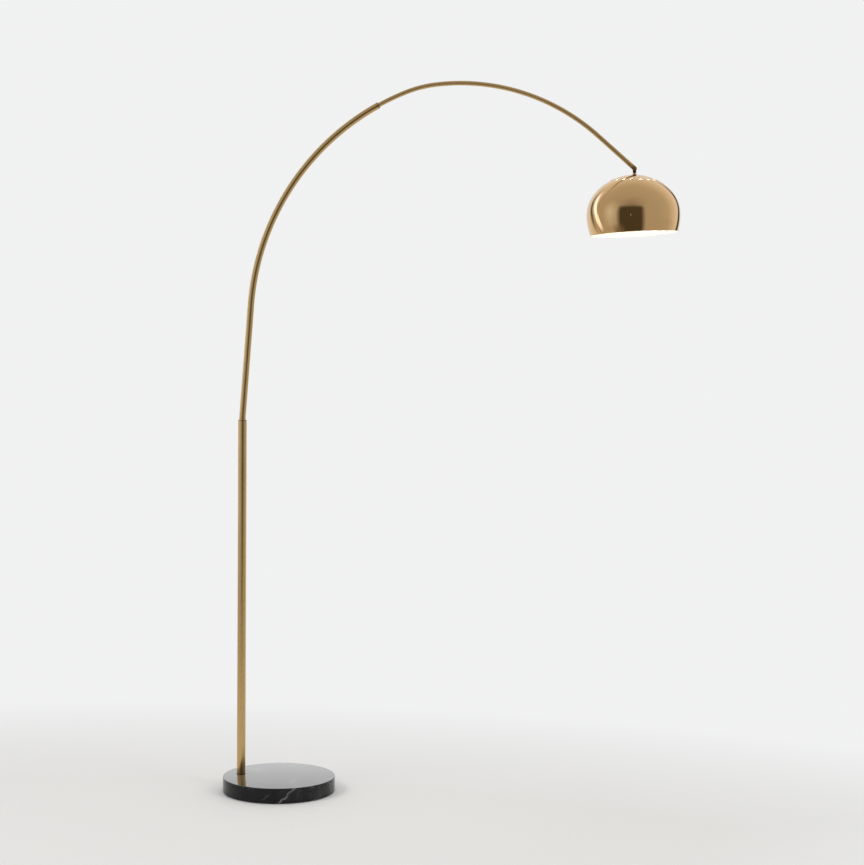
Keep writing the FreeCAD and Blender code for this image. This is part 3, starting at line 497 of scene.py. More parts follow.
def around(centre, radius, first, last, step=ARC_STEP):
    """Stations clockwise round a centre, from one angle down to another."""
    count = max(2, round(abs(first - last) / step))
    stations = []
    for index in range(count + 1):
        turn = first + (last - first) * index / count
        stations.append((centre + pointing(turn) * radius, turn - 90))
    return stations


def bend_on(stations, radius, sweep):
    """Carries a line of stations on round a bend that turns it downwards."""
    point, heading = stations[-1]
    turn = heading + 90
    return stations + around(point - pointing(turn) * radius, radius, turn, turn - sweep)[1:]


def hoop(station, radius, slide=0.0, segments=48):
    """A ring of points round a station, slid along it where asked."""
    point, heading = station
    along = pointing(heading)
    across = Vector((-along.z, 0, along.x))
    points = []
    for index in range(segments):
        turn = 2 * math.pi * index / segments
        side = across * math.cos(turn) + Vector((0, 1, 0)) * math.sin(turn)
        points.append(point + along * slide + side * radius)
    return points


LIP = 0.35 * MM
LIP_TURNS = [math.pi / 2 * index / 3 for index in range(4)]


def tube(name, stations, outer, wall, segments=48):
    """A hollow tube along its stations, with softly broken edges at both mouths."""
    inner, flat = outer - wall, outer - LIP
    rings = []
    for turn in LIP_TURNS:
        slide = LIP - LIP * math.cos(turn)
        rings.append(hoop(stations[0], flat + LIP * math.sin(turn), slide, segments))
    rings += [hoop(station, outer, 0, segments) for station in stations[1:-1]]
    for turn in LIP_TURNS:
        slide = LIP * math.sin(turn) - LIP
        rings.append(hoop(stations[-1], flat + LIP * math.cos(turn), slide, segments))
    rings += [hoop(station, inner, 0, segments) for station in reversed(stations)]
    return to_mesh(skin(rings), name)


def arm_stations():
    """Up inside the post, round the kink, along the lean and over the arc."""
    foot = Vector((POST_X, 0, arm_foot))
    kink = Vector((POST_X, 0, KINK_UP))
    stations = straight(foot, kink, 90, 6)
    bend_centre = kink + Vector((KINK_RADIUS, 0, 0))
    stations = stations[:-1] + around(bend_centre, KINK_RADIUS, 180, 180 - LEAN)
    arc = around(ARC_CENTRE, ARC_RADIUS, 180 - LEAN, MOUTH_ANGLE)
    lean_run = straight(stations[-1][0], arc[0][0], 90 - LEAN, 12)
    return stations + lean_run[1:-1] + arc


def boom_stations():
    """Back along the arc inside the arm, then on round its own bends to the fork."""
    stations = around(ARC_CENTRE, ARC_RADIUS, MOUTH_ANGLE + BOOM_TAIL, MOUTH_ANGLE - BOOM_LEAD_IN)
    for radius, sweep in BOOM_BENDS:
        stations = bend_on(stations, radius, sweep)
    end = PIVOT - pointing(TIP_HEADING) * FORK_ROOT
    return stations[:-1] + straight(stations[-1][0], end, TIP_HEADING, 8)


def make_tubes():
    post = straight(Vector((POST_X, 0, post_low.z)), Vector((POST_X, 0, post_high.z)), 90, 20)
    post_mesh = tube("post", post, POST_RADIUS, POST_WALL, segments=64)
    finish_piece("post", post_mesh, "post_tube")
    arm_mesh = tube("arm", arm_stations(), ARM_RADIUS, ARM_WALL)
    finish_piece("arm", arm_mesh, "arm_tube")
    boom_mesh = tube("boom", boom_stations(), BOOM_RADIUS - TRIM, BOOM_WALL)
    finish_piece("boom", boom_mesh, "boom_tube", parts=[boom_brass])


# ---------------------------------------------------------------- base
STONE_EDGE = 1.6 * MM
RECESS_RADIUS = 24 * MM
RECESS_TOP = 26 * MM
STUD_HOLE = 6.5 * MM
CHANNEL_HALF = 5 * MM
CHANNEL_TOP = 11 * MM
CABLE_BORE = 3.1 * MM
CABLE_HEIGHT = 6.5 * MM
PAST = 10 * MM          # how far a cutter runs past the face that it cuts
DRILL_REACH = 20 * MM   # half the length of a drill


def combine(piece, tool, operation):
    """Unites a tool with a piece, or cuts it out, for good; the tool is then removed."""
    change = piece.modifiers.new("combine", "BOOLEAN")
    change.operation = operation
    change.solver = "EXACT"
    change.object = tool
    bpy.context.view_layer.update()
    graph = bpy.context.evaluated_depsgraph_get()
    mesh = bpy.data.meshes.new_from_object(piece.evaluated_get(graph))
    piece.modifiers.clear()
    piece.data = mesh
    bpy.data.objects.remove(tool)


def carve(piece, *tools):
    """Cuts tools out of a piece and marks its sharp edges again."""
    for tool in tools:
        combine(piece, tool, "DIFFERENCE")
    piece.data.set_sharp_from_angle(angle=math.radians(35))


def box_mesh(low, high):
    """A box between two corners."""
    low, high = Vector(low), Vector(high)
    bm = bmesh.new()
    bmesh.ops.create_cube(bm, size=1.0)
    for vertex in bm.verts:
        vertex.co = (low + high) / 2 + vertex.co * (high - low)
    return bm


def block(low, high):
    return to_mesh(box_mesh(low, high), "block")


def make_base():
    """The marble disc with its nut recess and cable channel, the felt pad and the two rubbers."""
    disc = rod_corners(BASE_RADIUS, stone_low.z, stone_high.z, STONE_EDGE)
    stone = lathe("stone", disc, segments=256, steps=6)
    parts = [materials["marble"], marble_side]
    piece = finish_piece("base", stone, "base_stone", parts=parts)
    above = stone_high.z + PAST
    recess = lathe("recess", [
        (0, -PAST), (RECESS_RADIUS, -PAST), (RECESS_RADIUS, RECESS_TOP, 0.5 * MM),
        (STUD_HOLE, RECESS_TOP, 0.5 * MM), (STUD_HOLE, above), (0, above)], segments=96)
    channel_low = (POST_X - CHANNEL_HALF, 0, -PAST)
    channel = block(channel_low, (POST_X + CHANNEL_HALF, BASE_RADIUS + PAST, CHANNEL_TOP))
    carve(piece, placed("recess", moved(recess, (POST_X, 0, 0))), placed("channel", channel))
    for polygon in piece.data.polygons:
        polygon.material_index = 0 if polygon.normal.z > 0.5 else 1
    pad_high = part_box("base_pad")[1]
    pad = lathe("pad", [
        (0, 0), (pad_high.x, 0, 0.6 * MM), (pad_high.x, pad_high.z, 0.3 * MM),
        (0, pad_high.z)], segments=192)
    finish_piece("pad", pad, "base_pad")
    low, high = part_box("foot_gasket")
    washer = ring_corners(STUD_HOLE, high.x - POST_X, low.z, high.z, 0.35 * MM)
    gasket = lathe("gasket", washer, segments=96)
    finish_turned("gasket", gasket, "foot_gasket", POST_X)
    make_grommet()


def make_grommet():
    """Softened rubber block with a round bore, in the channel's mouth."""
    low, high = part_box("cable_grommet")
    bm = box_mesh(low, high)
    bmesh.ops.bevel(bm, geom=bm.edges[:], offset=0.6 * MM, segments=3, profile=0.5, affect="EDGES")
    mesh = to_mesh(bm, "grommet")
    piece = finish_piece("grommet", mesh, "cable_grommet")
    bore = drilled_y(CABLE_BORE)
    bore.transform(Matrix.Translation((POST_X, (low.y + high.y) / 2, CABLE_HEIGHT)))
    carve(piece, placed("bore", bore))


# ---------------------------------------------------------------- joints of the tubes
BUSH_GAP = 0.05 * MM
BUSH_DEPTH = 1.8        # degrees of the arc
FLANGE_DEPTH = 0.1      # degrees of the arc


def make_bushes():
    """The black nylon rings that show at the mouths of the post and the arm."""
    low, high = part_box("post_top_bush")
    inside = ARM_RADIUS + BUSH_GAP
    outside = POST_RADIUS - POST_WALL - BUSH_GAP
    top = post_high.z
    bush = lathe("post_bush", [
        (inside, low.z, 0.3 * MM), (outside, low.z, 0.3 * MM), (outside, top),
        (POST_RADIUS, top), (POST_RADIUS, high.z, 0.5 * MM),
        (inside, high.z, 0.3 * MM)], segments=96)
    finish_turned("post_bush", bush, "post_top_bush", POST_X)
    inside = BOOM_RADIUS + BUSH_GAP
    outside = ARM_RADIUS - ARM_WALL - BUSH_GAP
    sleeve = around(ARC_CENTRE, ARC_RADIUS, MOUTH_ANGLE + BUSH_DEPTH, MOUTH_ANGLE, 0.2)
    flange = around(ARC_CENTRE, ARC_RADIUS, MOUTH_ANGLE, MOUTH_ANGLE - FLANGE_DEPTH, 0.05)
    rings = [hoop(station, outside) for station in sleeve]
    shoulder = ARM_RADIUS - 0.02 * MM
    rings += [hoop(flange[0], shoulder), hoop(flange[-1], shoulder, -LIP)]
    for turn in LIP_TURNS[1:]:
        slide = LIP * math.sin(turn) - LIP
        rings.append(hoop(flange[-1], ARM_RADIUS - LIP + LIP * math.cos(turn), slide))
    rings.append(hoop(flange[-1], inside))
    rings += [hoop(station, inside) for station in reversed(sleeve)]
    finish_piece("arm_bush", to_mesh(skin(rings), "arm_bush"), "arm_end_bush")


# ---------------------------------------------------------------- knuckle and stem
FORK_RADIUS = 6.5 * MM
PLUG_RADIUS = 5.48 * MM
CHEEK_INSIDE = 3.6 * MM
CHEEK_OUTSIDE = 6.9 * MM
EYE_RADIUS = 6 * MM
EYE_HALF = 3 * MM
WIRE_WAY = 1.9 * MM
NIPPLE_RADIUS = 4 * MM
NIPPLE_BORE = 2.5 * MM
NIPPLE_HOLE = 4.05 * MM
COLLAR_HOLE = 4.1 * MM
COLLAR_RADIUS = 7.5 * MM


def soften(bm, edge, angle=40):
    """Bevels the sharp edges of a closed mesh."""
    sharp = [e for e in bm.edges if e.calc_face_angle(0) > math.radians(angle)]
    bmesh.ops.bevel(
        bm, geom=sharp, offset=edge, segments=2, profile=0.5, affect="EDGES", clamp_overlap=True)


def cheek_outline(half, root, flat):
    """A strap end seen from its side: square at the root and round about the pivot."""
    points = [(-root, -flat), (0.0, -half)]
    for step in range(1, 24):
        turn = -math.pi / 2 + math.pi * step / 24
        points.append((half * math.cos(turn), half * math.sin(turn)))
    return points + [(0.0, half), (-root, flat)]


def slab(outline, low, high, edge=0.5 * MM):
    """A plate with that outline in local XZ, between two Y values, with softened edges."""
    bm = bmesh.new()
    near = [bm.verts.new((x, low, z)) for x, z in outline]
    far = [bm.verts.new((x, high, z)) for x, z in outline]
    bm.faces.new(near)
    bm.faces.new(list(reversed(far)))
    count = len(outline)
    for step in range(count):
        bm.faces.new([near[step], far[step], far[(step + 1) % count], near[(step + 1) % count]])
    bmesh.ops.recalc_face_normals(bm, faces=bm.faces)
    soften(bm, edge)
    return bm


def drilled_z(radius, low, high):
    """A drill along Z."""
    return lathe("drill", rod_corners(radius, low, high), segments=48)


def drilled_y(radius):
    """A drill along Y through the origin."""
    drill = drilled_z(radius, -DRILL_REACH, DRILL_REACH)
    drill.transform(spun(90, "X"))
    return drill


def merged(*meshes):
    """Unites several closed meshes into one solid mesh."""
    whole = placed("whole", meshes[0])
    for mesh in meshes[1:]:
        combine(whole, placed("other", mesh), "UNION")
    mesh = whole.data
    bpy.data.objects.remove(whole)
    return mesh


def make_fork():
    """The boom's end: a plug inside the tube, a short turned root and two round cheeks."""
    outline = cheek_outline(FORK_RADIUS, 12.6 * MM, 6.1 * MM)
    sides = ((-CHEEK_OUTSIDE, -CHEEK_INSIDE), (CHEEK_INSIDE, CHEEK_OUTSIDE))
    cheeks = [to_mesh(slab(outline, low, high), "cheek") for low, high in sides]
    root = lathe("root", [
        (WIRE_WAY, -40 * MM, 0.3 * MM), (PLUG_RADIUS, -40 * MM, 0.5 * MM),
        (PLUG_RADIUS, -FORK_ROOT), (FORK_RADIUS, -FORK_ROOT, 0.3 * MM),
        (FORK_RADIUS, -7.6 * MM, 0.8 * MM), (WIRE_WAY, -7.6 * MM, 0.3 * MM)], segments=64)
    root.transform(spun(90, "Y"))
    fork = finish_piece("fork", merged(root, *cheeks), "knuckle_fork")
    carve(fork, placed("drill", drilled_y(1.55 * MM)))
    fork.data.transform(Matrix.Translation(PIVOT) @ spun(-TIP_HEADING, "Y"))


def make_tongue():
    """Round eye, short neck and a tapered barrel that takes the nipple."""
    round_eye = [(point.x, point.y) for point in circle(EYE_RADIUS, 0, 48)]
    eye = to_mesh(slab(round_eye, -EYE_HALF, EYE_HALF), "eye")
    wide, low, half = 4.8 * MM, -7.5 * MM, EYE_HALF - 0.01 * MM
    neck_outline = [(-wide, low), (wide, low), (wide, 0), (-wide, 0)]
    neck = to_mesh(slab(neck_outline, -half, half, 0.3 * MM), "neck")
    top, bottom = -7 * MM, -10.8 * MM
    barrel = lathe("barrel", [
        (0, bottom), (5.0 * MM, bottom, 0.4 * MM),
        (5.6 * MM, top, 0.6 * MM), (0, top)], segments=64)
    tongue = finish_piece("tongue", merged(eye, neck, barrel), "knuckle_tongue")
    way = placed("way", drilled_z(WIRE_WAY, -DRILL_REACH, DRILL_REACH))
    socket = placed("socket", drilled_z(NIPPLE_HOLE, -DRILL_REACH, -7.8 * MM))
    carve(tongue, way, socket, placed("pivot", drilled_y(1.5 * MM)))
    tongue.data.transform(Matrix.Translation(PIVOT))


def screw_mesh(side):
    """A slotted shoulder screw whose head is on the given side of the knuckle."""
    inner, seat, head = 2.2 * MM, 7.0 * MM, 1.2 * MM
    shank, brim = 1.48 * MM, 2.9 * MM
    outline = [(0, inner), (shank, inner, 0.2 * MM), (shank, seat),
               (brim, seat, 0.15 * MM), (brim, seat + head, 0.5 * MM), (0, seat + head)]
    screw = placed("screw", lathe("screw", outline, segments=48))
    slot = block((-0.35 * MM, -4 * MM, seat + head * 0.45), (0.35 * MM, 4 * MM, seat + head * 2))
    slot.transform(spun(35, "Z"))
    carve(screw, placed("slot", slot))
    mesh = screw.data
    bpy.data.objects.remove(screw)
    mesh.transform(spun(-90 * side, "X"))
    return mesh


def make_knuckle_screws():
    bm = bmesh.new()
    for side in (-1, 1):
        bm.from_mesh(screw_mesh(side))
    mesh = to_mesh(bm, "pivot_screws")
    mesh.transform(Matrix.Translation(PIVOT))
    finish_piece("pivot_screws", mesh, "knuckle_screws", sharp=30)


def thread_outline(inside, outside, low, high, pitch, depth):
    """A closed outline of a tube whose outside has rounded thread grooves."""
    corners = [(inside, low), (outside - depth, low)]
    step = (high - low) / int((high - low) / pitch)
    for index in range(int((high - low) / pitch)):
        crest = low + (index + 0.25) * step
        corners.append((outside, crest, 0.1 * MM))
        corners.append((outside - depth, crest + step / 2, 0.1 * MM))
    return corners + [(outside - depth, high), (inside, high)]


def make_stem():
    """The threaded nipple and the small turned collar where it enters the shade."""
    low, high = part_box("stem_nipple")
    thread = thread_outline(NIPPLE_BORE, NIPPLE_RADIUS, low.z, high.z, 1.0 * MM, 0.35 * MM)
    nipple = lathe("nipple", thread, segments=48, steps=2)
    finish_turned("nipple", nipple, "stem_nipple", sharp=80)
    low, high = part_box("stem_collar")
    collar = lathe("collar", [
        (COLLAR_HOLE, low.z), (COLLAR_RADIUS, low.z, 0.25 * MM),
        (COLLAR_RADIUS, low.z + 1.0 * MM, 0.4 * MM), (5.9 * MM, low.z + 1.9 * MM, 0.8 * MM),
        (5.4 * MM, high.z, 0.3 * MM), (COLLAR_HOLE, high.z)], segments=96)
    finish_turned("collar", collar, "stem_collar")


# ---------------------------------------------------------------- shade
VENT_COUNT = 18
VENT_RING = 68 * MM
VENT_RADIUS = 5.7 * MM
VENT_BAND = (58.5 * MM, 77.5 * MM)
VENT_TURN = 7
CAP_HOLE = 4.2 * MM
CAP_EDGE = 101.5 * MM
MOUTH = 82 * MM
CROWN_EDGE = 112.5 * MM
SHOULDER_RADIUS = 96 * MM
SKIRT_RADIUS = 175 * MM
RIM_DROP = 26 * MM
SIDE_STEPS = 8
SHADE_FACES = [materials["polished_brass"], enamel]


def polar(radius, turn):
    """A level point at a radius and an angle in radians."""
    return Vector((radius * math.cos(turn), radius * math.sin(turn), 0))


def join_rings(bm, rings):
    """Faces between rings of vertices that all have the same count."""
    for lower, upper in zip(rings, rings[1:]):
        for step in range(len(lower)):
            following = (step + 1) % len(lower)
            bm.faces.new([lower[step], lower[following], upper[following], upper[step]])


def vent_patch(bm, middle, loops=4):
    """One sector of the vent band, with its round hole, as rings from the hole out to the border."""
    half = math.pi / VENT_COUNT
    inner, outer = VENT_BAND
    border = []
    for step in range(SIDE_STEPS):
        border.append(polar(outer, middle - half + 2 * half * step / SIDE_STEPS))
    for step in range(SIDE_STEPS):
        border.append(polar(outer + (inner - outer) * step / SIDE_STEPS, middle + half))
    for step in range(SIDE_STEPS):
        border.append(polar(inner, middle + half - 2 * half * step / SIDE_STEPS))
    for step in range(SIDE_STEPS):
        border.append(polar(inner + (outer - inner) * step / SIDE_STEPS, middle - half))
    centre = polar(VENT_RING, middle)
    count = len(border)
    first = math.atan2(border[0].y - centre.y, border[0].x - centre.x)
    hole = [centre + polar(VENT_RADIUS, first + 2 * math.pi * step / count) for step in range(count)]
    rings = []
    for loop in range(loops + 1):
        share = (loop / loops) ** 1.4
        rings.append([bm.verts.new(hole[step].lerp(border[step], share)) for step in range(count)])
    join_rings(bm, rings)


def annulus(bm, inner, outer, steps):
    """Plain rings of the cap on one side of the vent band."""
    count = VENT_COUNT * SIDE_STEPS
    rings = []
    for level in range(steps + 1):
        radius = inner + (outer - inner) * level / steps
        turns = [(2 * step / SIDE_STEPS - 1) * math.pi / VENT_COUNT for step in range(count)]
        rings.append([bm.verts.new(polar(radius, turn)) for turn in turns])
    join_rings(bm, rings)


def make_cap():
    """Perforated cap on the crown sphere: brass outside and at its edges, white inside."""
    outer = CROWN_RADIUS - SHADE_WALL - CROWN_GAP
    bm = bmesh.new()
    for index in range(VENT_COUNT):
        vent_patch(bm, 2 * math.pi * index / VENT_COUNT)
    annulus(bm, CAP_HOLE, VENT_BAND[0], 16)
    annulus(bm, VENT_BAND[1], CAP_EDGE, 8)
    bmesh.ops.remove_doubles(bm, verts=bm.verts, dist=1e-6)
    for vertex in bm.verts:
        vertex.co.z = math.sqrt(outer ** 2 - vertex.co.x ** 2 - vertex.co.y ** 2)
    bmesh.ops.recalc_face_normals(bm, faces=bm.faces)
    if sum(face.normal.z for face in bm.faces) < 0:
        bmesh.ops.reverse_faces(bm, faces=bm.faces)
    bm.transform(spun(VENT_TURN, "Z"))
    mesh = moved(to_mesh(bm, "cap"), CROWN)
    piece = finish_piece("cap", mesh, "shade_cap", parts=SHADE_FACES)
    thick = piece.modifiers.new("sheet", "SOLIDIFY")
    thick.thickness = SHADE_WALL
    thick.offset = -1
    thick.use_even_offset = True
    thick.material_offset = 1
    thick.material_offset_rim = 0


def bowl_arcs(inset):
    """The bowl's three arcs, from its mouth down to its rim, as (radius, height) points."""
    crown, shoulder, skirt = CROWN_RADIUS - inset, SHOULDER_RADIUS - inset, SKIRT_RADIUS - inset
    edge_turn = math.acos(CROWN_EDGE / CROWN_RADIUS)
    middle_r = CROWN_EDGE - SHOULDER_RADIUS * math.cos(edge_turn)
    middle_z = (CROWN_RADIUS - SHOULDER_RADIUS) * math.sin(edge_turn)
    skirt_r = middle_r + SHOULDER_RADIUS - SKIRT_RADIUS
    rim_turn = math.asin((-RIM_DROP - middle_z) / skirt)
    spans = [((0, 0), crown, math.acos(MOUTH / crown), edge_turn, 20),
             ((middle_r, middle_z), shoulder, edge_turn, 0.0, 38),
             ((skirt_r, middle_z), skirt, 0.0, rim_turn, 24)]
    points = []
    for (across, up), radius, first, last, count in spans:
        for step in range(count + 1):
            if step or not points:
                turn = first + (last - first) * step / count
                points.append((across + radius * math.cos(turn), up + radius * math.sin(turn)))
    return points


def make_bowl():
    """Spun bowl with a bright cut edge at both ends: brass outside, white inside."""
    outside, inside = bowl_arcs(TRIM), bowl_arcs(SHADE_WALL)
    outline = outside[:-1]
    outline += [(*outside[-1], 0.25 * MM), (*inside[-1], 0.25 * MM, 1)]
    outline += [(radius, up, 0, 1) for radius, up in reversed(inside[1:-1])]
    outline.append(inside[0])
    mesh = moved(lathe("bowl", outline, segments=256, steps=3), CROWN, BOWL_TILT)
    finish_piece("bowl", mesh, "shade_bowl", parts=SHADE_FACES)


# ---------------------------------------------------------------- lampholder and bulb
# Radii, and depths below the knuckle's pivot.
HOLDER_RADIUS = 19.5 * MM
HOLDER_INSIDE = 17 * MM
HOLDER_NECK = 9 * MM
HOLDER_TOP = 30 * MM
HOLDER_SEAM = 50 * MM
HOLDER_MOUTH = 88 * MM
RIB_COUNT = 4
RIB_PITCH = 3.5 * MM
RIB_START = 52.5 * MM
RING_RADII = (19.55 * MM, 22.5 * MM)
RING_DEPTHS = (70 * MM, 76 * MM)
NOTCH_COUNT = 24
SHELL_RADII = (13.35 * MM, 13.75 * MM)
SHELL_DEPTHS = (60 * MM, 84 * MM)
BULB_CAP_RADII = (12.6 * MM, 13.1 * MM)
BULB_CAP_TOP = 65 * MM
THREAD_PITCH = 3.6 * MM
GLOBE_RADIUS = 30 * MM
GLOBE_DEPTH = 138 * MM
GLASS_NECK = 12.4 * MM
GLASS_WALL = 0.8 * MM


def below(distance):
    """A height that distance below the knuckle's pivot."""
    return PIVOT.z - distance


def make_lampholder():
    """Moulded cap and ribbed body."""
    cap = lathe("holder_cap", [
        (NIPPLE_HOLE, below(HOLDER_TOP), 0.3 * MM), (HOLDER_NECK, below(HOLDER_TOP), 1.2 * MM),
        (HOLDER_NECK, below(36 * MM), 1.5 * MM), (HOLDER_RADIUS, below(40 * MM), 2.5 * MM),
        (HOLDER_RADIUS, below(HOLDER_SEAM), 0.4 * MM),
        (HOLDER_INSIDE, below(HOLDER_SEAM), 0.3 * MM),
        (HOLDER_INSIDE, below(42 * MM), 0.5 * MM), (NIPPLE_HOLE, below(42 * MM))])
    finish_turned("holder_cap", cap, "lampholder_cap")
    corners = [(HOLDER_INSIDE, below(HOLDER_SEAM), 0.3 * MM),
               (HOLDER_RADIUS, below(HOLDER_SEAM), 0.4 * MM)]
    groove = HOLDER_RADIUS - 0.6 * MM
    for index in range(RIB_COUNT):
        start = RIB_START + RIB_PITCH * index
        for radius, drop, edge in ((HOLDER_RADIUS, 0, 0.3), (groove, 0.5, 0.2),
                                   (groove, 1.2, 0.2), (HOLDER_RADIUS, 1.7, 0.3)):
            corners.append((radius, below(start + drop * MM), edge * MM))
    corners += [(HOLDER_RADIUS, below(HOLDER_MOUTH), 1.0 * MM),
                (HOLDER_INSIDE, below(HOLDER_MOUTH), 0.6 * MM)]
    finish_turned("holder_body", lathe("holder_body", corners, steps=3), "lampholder_body")


def make_holder_ring():
    """The shade ring, with small finger notches round its outside."""
    inside, outside = RING_RADII
    high, low = (below(depth) for depth in RING_DEPTHS)
    edge = 0.4 * MM
    rings = []
    for radius, up in ((inside, low), (outside - edge, low), (outside, low + edge),
                       (outside, high - edge), (outside - edge, high), (inside, high)):
        ring = circle(radius, up, 192)
        for step, point in enumerate(ring):
            grip = max(0.0, math.cos(2 * math.pi * NOTCH_COUNT * step / 192)) ** 3
            notch = 0.45 * MM * grip if radius > inside else 0.0
            point.xy *= 1 - notch / radius
        rings.append(ring)
    finish_turned("holder_ring", to_mesh(skin(rings), "holder_ring"), "lampholder_ring")


def wave_tube(name, radii, depths, wave_depth):
    """A thin metal shell whose two faces follow the same rolled thread."""
    inside, outside = radii
    high, low = (below(depth) for depth in depths)
    outer, inner = [], []
    for step in range(61):
        up = low + (high - low) * step / 60
        fade = min(1.0, (up - low) / THREAD_PITCH, (high - up) / THREAD_PITCH)
        turn = 2 * math.pi * (up - low) / THREAD_PITCH
        wave = wave_depth * fade * (0.5 + 0.5 * math.cos(turn))
        outer.append((outside - wave, up))
        inner.append((inside - wave, up))
    return lathe(name, outer + list(reversed(inner)), segments=96)


def make_socket():
    """The holder's plain metal shell and the bulb's threaded screw cap."""
    shell = wave_tube("socket_shell", SHELL_RADII, SHELL_DEPTHS, 0.0)
    finish_turned("socket", shell, "socket_shell")
    inside, outside = BULB_CAP_RADII
    roof, seam = below(BULB_CAP_TOP), below(BULB_CAP_TOP + 0.5 * MM)
    brim = below(BULB_CAP_TOP + 1.5 * MM)
    cap = wave_tube("bulb_thread", BULB_CAP_RADII, (BULB_CAP_TOP + 0.5 * MM, HOLDER_MOUTH), 0.5 * MM)
    top = lathe("bulb_cap_top", [
        (5 * MM, seam), (5 * MM, roof, 0.1 * MM), (12.4 * MM, roof, 0.3 * MM),
        (outside, brim, 0.3 * MM), (inside, brim), (12.2 * MM, seam)], segments=96)
    bm = bmesh.new()
    bm.from_mesh(cap)
    bm.from_mesh(top)
    finish_turned("bulb_base", to_mesh(bm, "bulb_base"), "bulb_cap")


def bulb_profile(inset):
    """The envelope from its neck down to its lowest point, as (radius, height) points."""
    globe, middle = GLOBE_RADIUS - inset, below(GLOBE_DEPTH)
    start = Vector((GLASS_NECK - inset, below(92 * MM)))
    points = [(start.x, below(69 * MM + inset)), (start.x, below(80 * MM))]
    leave = math.radians(34)
    end = Vector((globe * math.cos(leave), middle + globe * math.sin(leave)))
    slope = Vector((-math.sin(leave), math.cos(leave)))
    reach = (start.y - end.y) * 0.5
    first, second = start + Vector((0, -1)) * reach, end + slope * reach
    for step in range(15):
        share = step / 14
        spot = (start * (1 - share) ** 3 + first * 3 * share * (1 - share) ** 2
                + second * 3 * share ** 2 * (1 - share) + end * share ** 3)
        points.append((spot.x, spot.y))
    for step in range(1, 36):
        turn = leave - (leave + math.pi / 2) * step / 36
        points.append((globe * math.cos(turn), middle + globe * math.sin(turn)))
    points.append((0.0, middle - globe))
    return points


def make_bulb():
    """Hollow frosted envelope, open at the neck inside the screw cap."""
    outline = [*reversed(bulb_profile(0.0)), *bulb_profile(GLASS_WALL)]
    finish_turned("bulb", lathe("bulb", outline, segments=96), "bulb_glass", sharp=60)


# ---------------------------------------------------------------- the CAD nodes that stay
def dress_cad_nodes():
    """Gives every carried-over CAD node the finish that its slot in the record names."""
    for node, piece in frame["nodes"].items():
        piece.data.materials.clear()
        piece.data.materials.append(materials[slot_of[node]])


# ---------------------------------------------------------------- studio
BACKDROP = (0.880, 0.882, 0.886)
FLOOR_TONE = (0.70, 0.695, 0.68)
ROOM_TONE = (0.53, 0.525, 0.52)
CAMERA_PLACE = Vector((1.2834, -5.2711, 1.325))
CAMERA_LENS = 76.99
CAMERA_TURN = 9
CAMERA_DOWN = 2.78
CAMERA_ROLL = 0.5
FLOOR_RADIUS = 30.0
FADE_ROUND_LAMP = (1.3, 2.6)
FADE_BEHIND_LAMP = (3.1, 4.3)    # measured from a point 3 m in front of the lamp


def make_floor():
    """A plain pale floor that fades into the backdrop's own brightness far from the lamp."""
    bm = bmesh.new()
    bmesh.ops.create_circle(bm, cap_ends=True, segments=96, radius=FLOOR_RADIUS)
    mesh = to_mesh(bm, "floor")
    placed("floor", mesh)
    made = Material("studio floor")
    made.set(Roughness=0.75, Specular_IOR_Level=0.25)
    speckle = made.noise(made.stretched(), 180, detail=4)
    made.color(made.drift(speckle, scaled(FLOOR_TONE, 0.98), scaled(FLOOR_TONE, 1.02)))
    place = made.place.outputs["Object"]
    bearing = made.fed(made.node("VectorMath", operation="NORMALIZE"), "Vector", place)
    behind = made.span(made.apart(bearing)["Y"], 0.0, 1.0, start=0.1, end=0.7)
    seen = made.node("LightPath").outputs["Is Camera Ray"]
    bright = made.sums("MAXIMUM", behind, seen)
    glow = made.node("Emission", Strength=1.0)
    made.link(made.ramp(bright, (0.0, ROOM_TONE), (1.0, BACKDROP)), glow.inputs["Color"])
    start, end = FADE_BEHIND_LAMP
    from_front = made.length(made.stretched(location=(0, 3.0, 0)))
    far_back = made.span(from_front, 0.0, 1.0, start=start, end=end)
    start, end = FADE_ROUND_LAMP
    far_out = made.span(made.length(place), 0.0, 1.0, start=start, end=end)
    far = made.sums("MAXIMUM", far_back, far_out)
    made.surface(made.mixed(far, made.shader.outputs["BSDF"], glow.outputs["Emission"]))
    mesh.materials.append(made.material)


def make_world():
    """Even pale backdrop for the camera; for all else a soft studio, brighter behind the lamp."""
    world = bpy.data.worlds.new("studio")
    bpy.context.scene.world = world
    world.use_nodes = True
    world.node_tree.nodes.clear()
    made = Nodes(world.node_tree)
    depth = made.span(made.apart(made.place.outputs["Generated"])["Y"], 0.0, 1.0, start=-1.0)
    tone = made.ramp(depth, (0.30, ROOM_TONE), (0.55, scaled(ROOM_TONE, 1.08)), (0.85, BACKDROP))
    studio = made.fed(made.node("Background"), "Background", tone)
    plain = made.node("Background", Color=(*BACKDROP, 1)).outputs["Background"]
    seen = made.node("LightPath").outputs["Is Camera Ray"]
    made.link(made.mixed(seen, studio, plain), made.node("OutputWorld").inputs["Surface"])


def soft_light(name, place, target, size, power):
    """A soft light that brightens surfaces but isn't mirrored in them."""
    data = bpy.data.lights.new(name, "AREA")
    data.shape = "RECTANGLE"
    data.size, data.size_y = size
    data.energy = power
    light = placed(name, data)
    light.location = place
    light.rotation_euler = (Vector(target) - Vector(place)).to_track_quat("-Z", "Y").to_euler()
    light.visible_glossy = False


def make_lights():
    """A key from the left, a fill from the right and a broad one from above."""
    soft_light("key", (-2.6, -2.2, 3.6), (0.2, 0, 1.0), (1.6, 1.6), 60)
    soft_light("fill", (3.4, -1.8, 2.8), (0.4, 0, 1.0), (1.2, 1.8), 35)
    soft_light("top", (0.3, 0.4, 4.6), (0.3, 0, 0), (2.4, 2.4), 45)


